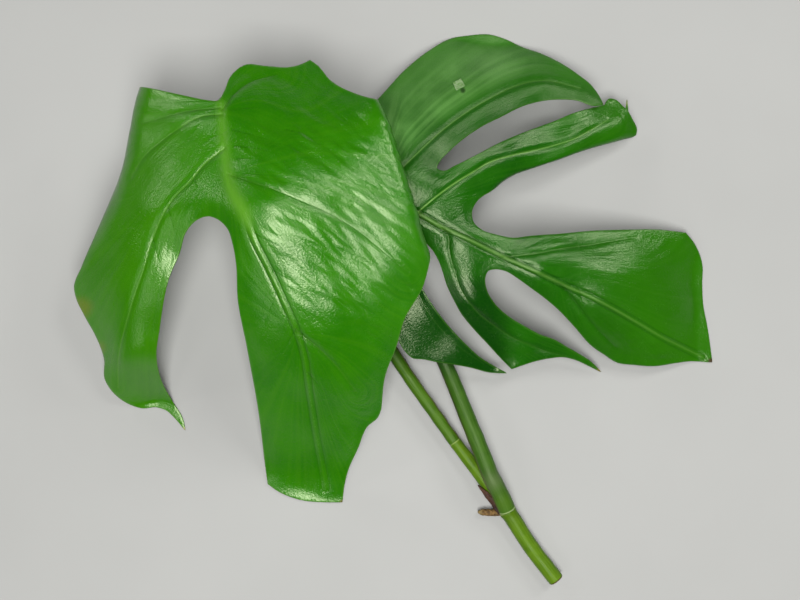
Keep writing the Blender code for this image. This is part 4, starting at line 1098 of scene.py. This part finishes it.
tear = make_flap("back_leaf_tear", flap_paint())
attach(tear, "root")

# %% [markdown]
# ## Stem and petioles
#
# Each is a profile carried along a path. The path's places come from the solid model. The radius changes
# along the path, and round it as well, because a petiole has a faint groove and a thin brown line
# where its sheath once closed. A frame that turns as little as possible keeps them from twisting.

# %% Paths and radii, as in the solid model
TOUCH_GAP = 0.3                 # between pieces that meet
STEM_R, NODE_R = 3.9, 4.5
INTERNODE_R = (3.7, 3.3, 3.05)
COLLAR = [(-2.8, 4.0), (-1.35, 4.3), (0.0, NODE_R), (0.7, 4.0), (1.8, INTERNODE_R[0])]      # place, radius
COLLAR_REACH = 7.3              # how far below the node the stem begins to widen
FRONT_PETIOLE_R = (3.0, 3.15, 3.1, 3.0, 2.9)
BACK_PETIOLE_R = (4.4, 4.0, 3.6, 3.3, 3.1)
CUT_END = (78.2, -140.0, 3.95)
STEM_MIDDLE = (65.0, -122.8, 4.3)
LOWER_NODE = (53.7, -105.4, 5.0)
UPPER_NODE = (27.3, -70.7, 5.2)
INTERNODE_MIDDLE = (40.5, -88.0, 5.1)
FRONT_PETIOLE_PATH = [(27.0, -70.3, 5.2), (16.5, -55.5, 5.9), (6.5, -41.4, 7.0), (-2.3, -28.2, 9.3),
                      (-14, -10, 14.0), (-25, 6, 20.5), (-50, 42, 36.0), (-70, 70, 47.0),
                      (-81, 86, 50.5), (-87.2, 94.6, 51.6)]
BACK_PETIOLE_PATH = [(53.5, -104.9, 6.2), (50.0, -97.0, 8.7), (45.4, -88.0, 10.9), (41.3, -77.5, 11.6),
                     (34.2, -60.0, 10.9), (22.4, -31.4, 10.4), (10, -6, 14.5), (0, 16, 22.0),
                     (-8.5, 36, 28.5), (-13.2, 48.5, 31.5)]
FRONT_JOINT = (-89.3, 96.2)
BACK_JOINT = (-14.6, 52.6)
ROOT_PATH = [LOWER_NODE, (46.5, -106.3, 3.4), (42.5, -106.2, 3.0), (39.6, -106.0, 2.8)]
ROOT_R = (1.9, 1.75, 1.6, 1.45, 0.9)
JOINT_DROP = 1.6                # a petiole turns square to its leaf this far below the rib
JOINT_SINK = 1.0                # how far it runs into the rib
JOINT_STEP = 2.0                # between the places that give the leaf's slope there
TUBE_SIDES = 56
TURNS = np.linspace(-math.pi, math.pi, TUBE_SIDES, endpoint=False)      # round a tube, nought on top
TUBE_STEP, STEM_STEP, AXIS_STEP = 0.8, 0.4, 0.25


def lifted(path):
    """The drawn path in space."""
    return on_surface(*np.array(path, float).T)


def path_to_leaf(path, shape, joint):
    """The path, ended square to its leaf and just inside the rib."""
    top = shape(np.array(joint) + [(0.0, 0.0), (JOINT_STEP, 0.0), (0.0, -JOINT_STEP)])
    normal = unit(np.cross(top[2] - top[0], top[1] - top[0]))
    meet = top[0] - normal * (BLADE + RIB_DEPTH)
    return np.concatenate([lifted(path), [meet - normal * JOINT_DROP, meet + normal * JOINT_SINK]])


# %% A profile carried along a path
END_RINGS = (0.985, 0.95, 0.85, 0.7, 0.5, 0.3, 0.12, 0.02)     # the rings of an end, as shares of its rim
STALK_LUMPS = (0.0, 5.0, 11.0)  # the lumps' heading, spread and length


def frames(line):
    """Tangent, side and up at each point. The first side is level, and each next one is the last with
    its part along the new tangent taken out."""
    tangent = unit(np.gradient(line, axis=0))
    side = np.empty_like(tangent)
    side[0] = unit(np.cross((0.0, 0.0, 1.0), tangent[0]))
    for k in range(1, len(line)):
        side[k] = unit(side[k - 1] - side[k - 1] @ tangent[k] * tangent[k])
    return tangent, side, np.cross(tangent, side)


def tube(line, radius, dome):
    """Rings of line + r (cos a up + sin a side), with each end closed by rings that shrink to a point.
    The radius is an array of rings by sides. A dome is how far an end bulges. Attributes: the distance
    along, the turn round from the top in degrees, and how far in from the rim a point of an end lies."""
    tangent, side, up = frames(line)
    around = np.cos(TURNS)[None, :, None] * up[:, None] + np.sin(TURNS)[None, :, None] * side[:, None]
    body = line[:, None] + radius[..., None] * around
    shares = np.array(END_RINGS)
    bulge = np.sqrt(1.0 - shares ** 2)

    def end(k, way):
        middle = line[k] + np.outer(bulge * way, tangent[k])
        return middle[:, None] + shares[:, None, None] * (body[k] - line[k])[None]

    rings = np.concatenate([end(0, -dome[0])[::-1], body, end(-1, dome[1])])
    run = length_along(line)
    along = np.concatenate([np.full(len(shares), run[0]), run, np.full(len(shares), run[-1])])
    inward = np.concatenate([1.0 - shares[::-1], np.zeros(len(line)), 1.0 - shares])
    points = np.concatenate([rings.reshape(-1, 3), [rings[0].mean(axis=0), rings[-1].mean(axis=0)]])
    faces = grid_faces(len(rings), TUBE_SIDES, closed=True)[:, ::-1]
    last = len(rings) * TUBE_SIDES
    rim = np.arange(TUBE_SIDES)
    top = rim + last - TUBE_SIDES
    caps = [np.stack([np.full(TUBE_SIDES, last), rim, np.roll(rim, -1)], axis=1),
            np.stack([np.full(TUBE_SIDES, last + 1), np.roll(top, -1), top], axis=1)]
    fields = {
        "length": np.append(np.repeat(along, TUBE_SIDES), [run[0], run[-1]]),
        "turn": np.append(np.tile(np.degrees(TURNS), len(rings)), [0.0, 0.0]),
        "inward": np.append(np.repeat(inward, TUBE_SIDES), [1.0, 1.0]),
    }
    faces = np.concatenate([faces, *caps])
    return points, outward(points, faces), fields


def outward(points, faces):
    """The faces, turned round if the volume that they enclose comes out negative."""
    a, b, c = (points[faces[:, k]] for k in range(3))
    volume = (a * np.cross(b, c)).sum()
    return faces if volume > 0.0 else faces[:, ::-1]


def uneven(run, size, seed):
    """Low lumps on a tube: ripples along it, which are higher on one side than on the other."""
    plan = np.column_stack([run, np.zeros(len(run))])
    lines = ripples(plan, *STALK_LUMPS, seed)[:, None]
    return size * lines * (1.0 + 0.4 * np.cos(TURNS + 1.0))[None, :]


# %% [markdown]
# ## The stem's finish
#
# Green stems are smooth, with pale streaks along them, a hair-thin pale ring at each node and a brown
# skin on the cut. The cut face shows the ends of the strands that carry water.


# %% A material for stem and petioles
def stem_paint(name, tones, rings, lines=(), cut=False, shaded=None):
    """Green with streaks along the length. Rings are (place, half width), lines are (turn, half width in
    degrees), and shaded is the pair of lengths between which painted shade deepens the colour."""
    paint = Paint(name, IOR=1.45, Specular_IOR_Level=0.22, Specular_Tint=SHEEN, Metallic=0.0)
    length, turn = paint.attribute("length"), paint.attribute("turn")
    inward = paint.attribute("inward")
    round_it = paint.node("ShaderNodeCombineXYZ", None, {0: length * 0.03, 1: turn * 0.09})
    streaks = paint.noise(round_it, 1.0, 3.0)
    mottle = paint.noise(paint.place(), 130.0, 3.0)
    green = paint.blend(mottle.patches(), tones["deep"], tones["fresh"])
    green = paint.blend(streaks.ramp(0.4, 0.75) * 0.5, green, tones["pale"])
    # Painted shade: between the two shaded lengths the colour deepens to the shade tone.
    if shaded is not None:
        green = paint.blend(length.ramp(*shaded), green, tones["shade"])
    for place, tone in tones.get("patches", ()):
        green = paint.blend((length - place).bell(5.0) * 0.6, green, tone)
    for place, half in lines:
        drift = mottle * 6.0 - 3.0
        green = paint.blend((turn - place + drift).bell(half) * 0.75, green, tones["line"])
    for place, half in rings:
        wobble = streaks * 0.5 - 0.25
        green = paint.blend((length - place + 1.6).bell(1.3) * 0.35, green, tones["deep"])
        green = paint.blend((length - place + wobble).bell(half), green, tones["ring"])
    dots = paint.node("ShaderNodeTexVoronoi", {"feature": "F1"},
                      {"Vector": paint.place(), "Scale": 1150.0}, output="Distance")
    grain = paint.noise(paint.place(), 1500.0, 2.0)
    if cut:
        face = paint.blend(dots.ramp(0.12, 0.3), (87, 97, 47), (134, 142, 97))
        face = paint.blend(inward.ramp(0.35, 0.02), face, (84, 69, 34))
        brown = length.ramp(0.9, 0.25) * (streaks * 0.5 + 0.7)
        green = paint.blend(brown, green, (62, 44, 20))
        green = paint.blend(inward.ramp(0.005, 0.03), green, face)
    rough = mottle.ramp(0.3, 0.7, 0.38, 0.5) + inward.ramp(0.0, 0.1) * 0.25
    relief = paint.bump(streaks + grain * 0.15, 0.00018)
    return paint.finish(Base_Color=green, Roughness=rough, Normal=relief)


# %% The stem
def stem_line():
    """The stem's axis from the cut end to the upper node, the radius there, and the lower node's place."""
    axis = smooth(lifted([CUT_END, STEM_MIDDLE, LOWER_NODE, INTERNODE_MIDDLE, UPPER_NODE]), AXIS_STEP)
    run = length_along(axis)
    node = run[np.linalg.norm(axis - lifted([LOWER_NODE]), axis=1).argmin()]
    lengths = np.linspace(0.0, run[-1], round(run[-1] / STEM_STEP) + 1)
    knots = [0.0, node - COLLAR_REACH, *(node + place for place, _ in COLLAR), (node + run[-1]) / 2, run[-1]]
    sizes = [STEM_R, STEM_R, *(size for _, size in COLLAR), *INTERNODE_R[1:]]
    radius = np.interp(lengths, knots, sizes)
    soft = np.convolve(np.pad(radius, 2, mode="edge"), np.full(5, 0.2), mode="valid")
    return at_lengths(axis, run, lengths), soft, node


def make_stem():
    """The radius has soft lumps, a step at the node's ring, and a slightly rounded rim at the cut."""
    line, size, node = stem_line()
    run = length_along(line)
    radius = size[:, None] + uneven(run, 0.05, 41)
    steps = [(-0.22, node + 0.35, 0.3), (-0.25, 0.0, 0.35), (-0.12, run[-1], 0.3)]
    radius += across(run, steps)[:, None]
    tones = {"deep": (62, 94, 6), "fresh": (76, 108, 9), "pale": (100, 128, 26), "ring": (130, 150, 80),
             "patches": [(node + 3.0, (62, 86, 9)), (node - 3.0, (62, 90, 10))]}
    paint = stem_paint("stem_skin", tones, rings=[(node + 0.3, 0.35), (run[-1] - 0.1, 0.3)], cut=True)
    points, faces, fields = tube(line, radius, dome=(-0.5, 0.3))
    thing = make_mesh("stem_skin", points, faces, fields, paint, sharp=50.0)
    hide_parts("stem")
    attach(thing, "root")


make_stem()


# %% The petioles
def make_petiole(name, line, radii, tones, lines, shaded, seed, ring):
    """Radii spread evenly along the path. A shallow groove runs along the top and fades upwards, and the
    last stretch below the leaf swells into the wrinkled joint that turns the blade to the light."""
    run = length_along(line)
    size = np.interp(run, np.linspace(0.0, run[-1], len(radii)), radii)
    to_leaf = run[-1] - run
    swell = 0.3 * fade(to_leaf, 17.0, 8.0)
    creases = 0.05 * np.sin(to_leaf * 2.4) * fade(to_leaf, 15.0, 9.0)
    radius = (size + swell + creases)[:, None] + uneven(run, 0.06, seed)
    groove = fade(run, 70.0, 10.0)[:, None]
    radius -= 0.22 * groove * bell(TURNS, 0.42)[None, :]
    for place, _ in lines:
        radius += 0.12 * groove * bell(TURNS - math.radians(place), 0.09)[None, :]
    paint = stem_paint(name + "_skin", tones, rings=[(ring, 0.3)], lines=lines, shaded=shaded)
    points, faces, fields = tube(line, radius, dome=(0.3, 0.3))
    thing = make_mesh(name + "_skin", points, faces, fields, paint)
    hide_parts(name)
    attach(thing, "root")


START_AIM, START_SHARE, START_CUT = 6, 0.15, 3      # the front petiole starts a little inside the stem's end

front_line = smooth(path_to_leaf(FRONT_PETIOLE_PATH, front_shape, FRONT_JOINT), TUBE_STEP)
front_start = lifted([UPPER_NODE]) + (lifted([UPPER_NODE]) - front_line[START_AIM]) * START_SHARE
front_line = smooth(np.concatenate([front_start, front_line[START_CUT:]]), TUBE_STEP)
FRONT_STALK = {"deep": (45, 80, 4), "fresh": (56, 91, 7), "pale": (78, 109, 22),
               "shade": (28, 61, 12), "line": (83, 62, 28), "ring": (134, 153, 90)}
make_petiole("front_petiole", front_line, FRONT_PETIOLE_R, FRONT_STALK, [(-62.0, 5.0)],
             (34.0, 66.0), 43, ring=0.4)

back_line = smooth(path_to_leaf(BACK_PETIOLE_PATH, back_shape, BACK_JOINT), TUBE_STEP)
BACK_STALK = {"deep": (40, 74, 12), "fresh": (50, 85, 16), "pale": (70, 102, 36),
              "shade": (23, 55, 14), "line": (72, 48, 28), "ring": (134, 153, 98),
              "patches": [(18.0, (78, 94, 56)), (6.0, (66, 97, 23))]}
make_petiole("back_petiole", back_line, BACK_PETIOLE_R, BACK_STALK, [(66.0, 5.0)],
             (62.0, 88.0), 47, ring=0.5)

# %% [markdown]
# ## The dry sheath and the root stub
#
# Where a leaf once unrolled, its sheath has dried to brown paper that still clasps the stem and runs up
# to a point. Just below it the stub of an aerial root stands out: rough brown bark with a pale new tip.

# %% The sheath
SHEATH_START, SHEATH_END = 1.6, 19.0
SHEATH_T = 0.35
SHEATH_OUTER = 0.7              # from its inner side to its outer side, which is the visible one
SHEATH_MIDDLE, SHEATH_SPREAD, SHEATH_POINT = 62.0, 58.0, 0.05
SHEATH_GRID = (70, 60)
SHEATH_CREASES, SHEATH_RAGS = (90.0, 9.0, 2.4, 53), (0.0, 5.0, 3.0, 59)


def make_sheath():
    """The sheet at distance s and turn a is centre(s) + r (cos a up + sin a side). Its spread narrows as
    1 minus s to the power 2.2, and creases along it lift it off the stem here and there."""
    line, size, node = stem_line()
    run = length_along(line) - node
    rows, columns = SHEATH_GRID
    lengths = np.linspace(SHEATH_START, SHEATH_END, rows)
    axis = line[run > 0.0]
    centre = at_lengths(line, run, lengths)
    along = unit(axis[-1] - axis[0])
    side = unit(np.cross((0.0, 0.0, 1.0), along))
    up = np.cross(along, side)
    share = np.linspace(0.0, 1.0, rows)
    plan = np.stack(np.meshgrid(lengths, np.linspace(-8.0, 8.0, columns), indexing="ij"), axis=-1)
    crease = ripples(plan.reshape(-1, 2), *SHEATH_CREASES).reshape(rows, columns)
    ragged = 1.0 + 0.05 * ripples(plan[:, 0], *SHEATH_RAGS)
    spread = SHEATH_SPREAD * np.maximum(1.0 - share ** 2.2, SHEATH_POINT) * ragged
    turn = np.radians(SHEATH_MIDDLE + np.outer(spread, np.linspace(-1.0, 1.0, columns)))
    radius = np.interp(lengths, run, size)[:, None] + TOUCH_GAP + SHEATH_OUTER
    radius = radius + 0.14 * crease * fade(share, 0.0, 0.15)[:, None]
    sheet = centre[:, None] + radius[..., None] * (np.cos(turn)[..., None] * up
                                                   + np.sin(turn)[..., None] * side)
    top, faces = sheet.reshape(-1, 3), grid_faces(rows, columns)
    away = (vertex_normals(top, faces) * (top - np.repeat(centre, columns, axis=0))).sum()
    faces = faces if away > 0.0 else faces[:, ::-1]
    points, triangles, origin, _ = close_sheet(top, faces, np.full(len(top), SHEATH_T))
    fields = {"length": np.repeat(lengths, columns)[origin], "crease": crease.ravel()[origin]}
    thing = make_mesh("dry_sheath_skin", points, triangles, fields, sheath_paint())
    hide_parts("dry_sheath")
    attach(thing, "root")


def sheath_paint():
    """Paper brown, purple-brown towards the node, with painted shade in the valleys between the creases."""
    paint = Paint("dry_sheath_skin", Specular_IOR_Level=0.35)
    length, crease = paint.attribute("length"), paint.attribute("crease")
    mottle = paint.noise(paint.place(), 420.0, 4.0)
    brown = paint.blend(mottle.patches(), (50, 27, 15), (74, 45, 26))
    brown = paint.blend(length.ramp(13.0, 3.0) * 0.7, brown, (36, 19, 17))
    # Painted shade in the valleys between the creases.
    brown = paint.blend(crease.ramp(0.0, -1.2) * 0.5, brown, (34, 19, 12))
    fibres = paint.noise(paint.stretched(paint.place(), (2600.0, 260.0, 700.0), -53.0), 1.0, 3.0)
    relief = paint.bump(fibres, 0.0003)
    return paint.finish(Base_Color=brown, Roughness=mottle * 0.2 + 0.55, Normal=relief)


make_sheath()

# %% The root stub
ROOT_BARK = (10.0, 50.0, 1.5, 61)


def make_root():
    """A short tapered tube whose bark has rings and lumps, with a smooth rounded tip."""
    line = smooth(lifted(ROOT_PATH), AXIS_STEP)
    run = length_along(line)
    size = np.interp(run, (0.0, run[-1] * 0.45, run[-1] * 0.72, run[-1] - 0.9, run[-1]), ROOT_R)
    unrolled = np.stack(np.meshgrid(run, np.cos(TURNS) * 2.2, indexing="ij"), axis=-1)
    bark = ripples(unrolled.reshape(-1, 2), *ROOT_BARK).reshape(len(run), TUBE_SIDES)
    radius = size[:, None] + 0.08 * bark * fade(run[-1] - run, 0.2, 2.0)[:, None]
    points, faces, fields = tube(line, radius, dome=(0.0, 0.7))
    thing = make_mesh("aerial_root_skin", points, faces, fields, root_paint(run[-1]))
    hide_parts("aerial_root")
    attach(thing, "root")


def root_paint(end):
    """Brown bark, darker at the stem, with a pale waxy tip."""
    paint = Paint("aerial_root_skin", Specular_IOR_Level=0.35)
    length = paint.attribute("length")
    mottle = paint.noise(paint.place(), 700.0, 4.0)
    bark = paint.blend(mottle.patches(), (74, 52, 20), (118, 90, 46))
    bark = paint.blend(length.ramp(end - 8.0, end - 11.0) * 0.5, bark, (44, 28, 16))
    bark = paint.blend(length.ramp(end - 2.2, end - 0.4) * 0.7, bark, (129, 112, 69))
    relief = paint.bump(paint.noise(paint.place(), 1500.0, 3.0), 0.0003)
    return paint.finish(Base_Color=bark, Roughness=mottle * 0.2 + 0.6, Normal=relief)


make_root()

# %% [markdown]
# ## Table and light
#
# The table is a pale matt plane. Waxy leaves show their form by what they mirror, so the lights are
# large soft panels like windows, and the air between them is dim, which keeps the green deep elsewhere.

# %% The table
TABLE_SIZE = 6.0


def table_paint():
    """Pale grey, with a trace of unevenness."""
    paint = Paint("table_top", Specular_IOR_Level=0.2)
    cloud = paint.noise(paint.place(), 6.0, 4.0)
    grey = paint.blend(cloud.patches(), (152, 152, 149), (156, 156, 153))
    return paint.finish(Base_Color=grey, Roughness=cloud * 0.1 + 0.7)


table_mesh = bpy.data.meshes.new("table_top")
corner = TABLE_SIZE / 2
table_mesh.from_pydata([(-corner, -corner, 0), (corner, -corner, 0), (corner, corner, 0),
                        (-corner, corner, 0)], [], [(0, 1, 2, 3)])
table_mesh.materials.append(table_paint())
table_top = bpy.data.objects.new("table_top", table_mesh)
bpy.context.scene.collection.objects.link(table_top)

# %% The lights
PANELS = [
    # name, part of the way right and away that it lies in (as in a unit vector), size, watts
    ("main_panel", 0.01, -0.31, 0.58, 17.5),
    ("top_panel", 0.01, 0.06, 0.38, 6.6),
    ("left_panel", -0.59, -0.43, 0.28, 0.8),
    ("low_left_panel", -0.50, -0.69, 0.26, 0.8),
    ("far_panel", 0.40, 0.48, 0.30, 3.6),
    ("side_panel", 0.66, 0.52, 0.26, 3.9),
    ("window", -0.58, 0.70, 0.20, 1.8),
    ("low_window", -0.84, 0.21, 0.17, 1.1),
]
PANEL_DISTANCE = 1.3
ROOM_COLOUR, ROOM_STRENGTH = (0.9, 0.95, 1.0, 1.0), 0.025


def make_panel(name, right, away, size, watts):
    """A square of light that faces the middle of the table from the given direction."""
    light = bpy.data.lights.new(name, "AREA")
    light.size = size
    light.energy = watts
    panel = bpy.data.objects.new(name, light)
    out = Vector((right, away, math.sqrt(1.0 - right ** 2 - away ** 2)))
    panel.location = out * PANEL_DISTANCE
    panel.rotation_euler = out.to_track_quat("Z", "Y").to_euler()
    panel.visible_camera = False
    bpy.context.scene.collection.objects.link(panel)


for panel in PANELS:
    make_panel(*panel)

world = bpy.data.worlds.new("room")
world.use_nodes = True
world.node_tree.nodes["Background"].inputs["Color"].default_value = ROOM_COLOUR
world.node_tree.nodes["Background"].inputs["Strength"].default_value = ROOM_STRENGTH
bpy.context.scene.world = world
bpy.context.scene.view_settings.view_transform = "Standard"
